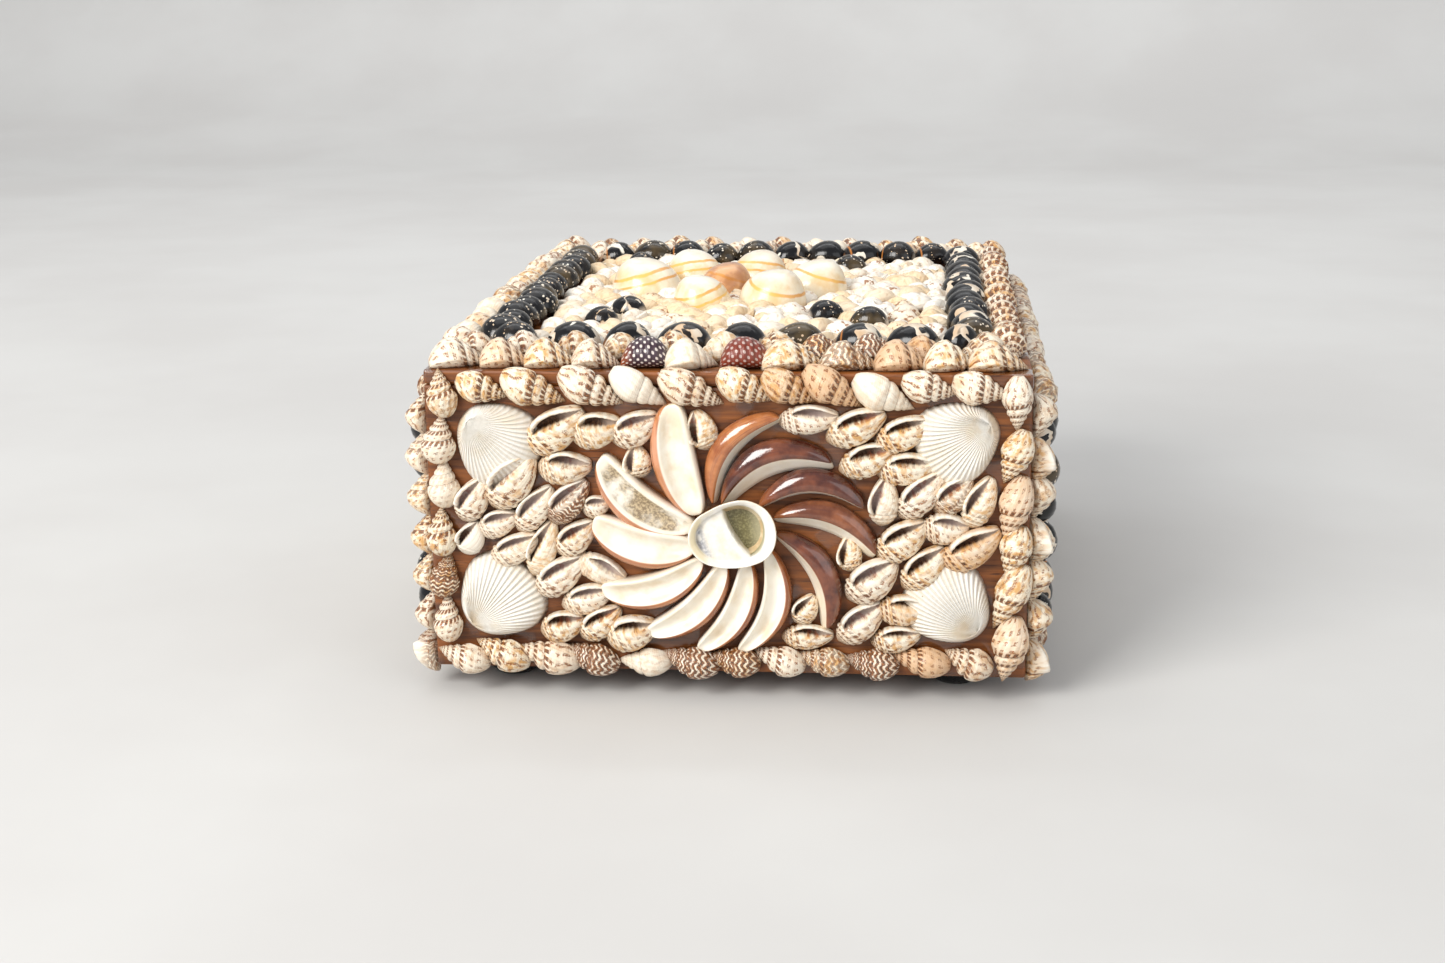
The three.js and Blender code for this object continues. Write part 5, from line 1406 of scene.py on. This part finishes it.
for su, sv, turn in [(-1, 1, 135), (-1, -1, 225), (1, 1, 45), (1, -1, -45)]:
    u, v = su * BACK_COCKLE_U, BACK_CENTRE + sv * BACK_COCKLE_V
    back_cockles.append((u, v, *BACK_COCKLE_SIZE, COCKLE_HEIGHT, turn, 1, 0.2, 0.0))
back_pieces.append(lay("back_cockles", "back", back_cockles, cockle_forms, cockle_look, 103))
taken = [(0, BACK_CENTRE, PINWHEEL_ROOM)] + [(u, v, COCKLE_ROOM) for u, v, *_ in back_cockles]
back_pieces.append(pebble_ground("back_ground", "back", BACK_FIELD, BACK_SPACING, taken, 104, 105))
place(join_meshes("back_pinwheel_shells", back_pieces), "cowrie_shell", "back_pinwheel")

# The setting: a plain pale floor that sweeps up into a wall, soft daylight from the front left, a fill from
# the right, and a camera where the photograph was taken from. None of it belongs to the box.
stage_shader = Shader("pale_floor")
stage_cloud = stage_shader.noise(stage_shader.object_coords(), 6.0, 4.0)
stage_shader.colour = stage_shader.mix(stage_cloud.ramp(0.3, 0.7), (0.54, 0.53, 0.515), (0.58, 0.575, 0.56))
stage_look = stage_shader.finish(0.85)
floor_mesh = bpy.data.meshes.new("floor")
sweep = [(-1.6, 0.0), (1.1, 0.0), (1.3, 0.03), (1.42, 0.12), (1.5, 0.3), (1.52, 1.6)]
corners = [(x, y, z) for y, z in sweep for x in (-2.4, 2.4)]
floor_mesh.from_pydata(corners, [], [(2 * i, 2 * i + 1, 2 * i + 3, 2 * i + 2) for i in range(len(sweep) - 1)])
floor_mesh.shade_smooth()
add_object("floor", floor_mesh, stage_look)
# name, place and aim in metres, width and height, watts, colour
LIGHTS = [
    ("window", (-0.7, -0.95, 0.72), (0, 0, 0.04), (0.7, 0.7), 20.0, (1.0, 0.98, 0.95)),
    ("fill", (1.0, -0.8, 0.5), (0, 0, 0.04), (1.2, 1.0), 4.0, (0.97, 0.98, 1.0)),
    ("top", (-0.1, 0.3, 1.2), (0, 0, 0.05), (1.2, 1.0), 4.0, (1.0, 1.0, 1.0)),
    ("wall", (0.0, 0.5, 1.2), (0, 1.5, 0.45), (2.0, 0.4), 9.0, (0.97, 0.98, 1.0)),
]
for name, location, target, size, watts, colour in LIGHTS:
    data = bpy.data.lights.new(name, "AREA")
    data.shape = "RECTANGLE"
    data.size, data.size_y = size
    data.energy = watts
    data.color = colour
    lamp = bpy.data.objects.new(name, data)
    bpy.context.scene.collection.objects.link(lamp)
    aim = (Vector(target) - Vector(location)).to_track_quat("-Z", "Y").to_matrix().to_4x4()
    lamp.matrix_world = Matrix.Translation(location) @ aim
world = bpy.data.worlds.new("studio")
world.use_nodes = True
SKY_COLOUR, SKY_STRENGTH = (0.9, 0.92, 0.95, 1.0), 0.55
background = world.node_tree.nodes["Background"]
background.inputs["Color"].default_value = SKY_COLOUR
background.inputs["Strength"].default_value = SKY_STRENGTH
bpy.context.scene.world = world
bpy.context.scene.view_settings.view_transform = "Standard"

LENS, SENSOR = 50.0, 36.0
# the camera's place in mm: right of the middle, in front of the front board, above the lid; then its
# heading to the right, its look down and its tilt in degrees
CAMERA_RIGHT, CAMERA_FRONT, CAMERA_ABOVE = 44.13, 445.73, 94.12
YAW, PITCH, ROLL = -5.732, 14.984, -0.681
camera_data = bpy.data.cameras.new("camera")
camera_data.lens = LENS
camera_data.sensor_width = SENSOR
camera_data.clip_start = 0.01
camera = bpy.data.objects.new("camera", camera_data)
bpy.context.scene.collection.objects.link(camera)
axes = Matrix.Identity(4)
for angle, axis in ((-YAW, "Z"), (90 - PITCH, "X"), (ROLL, "Z")):
    axes = axes @ Matrix.Rotation(math.radians(angle), 4, axis)
camera_at = Vector((CAMERA_RIGHT, -CAMERA_FRONT - HALF_D, CAMERA_ABOVE + LID_TOP)) * MM
camera.matrix_world = Matrix.Translation(camera_at) @ axes
bpy.context.scene.camera = camera
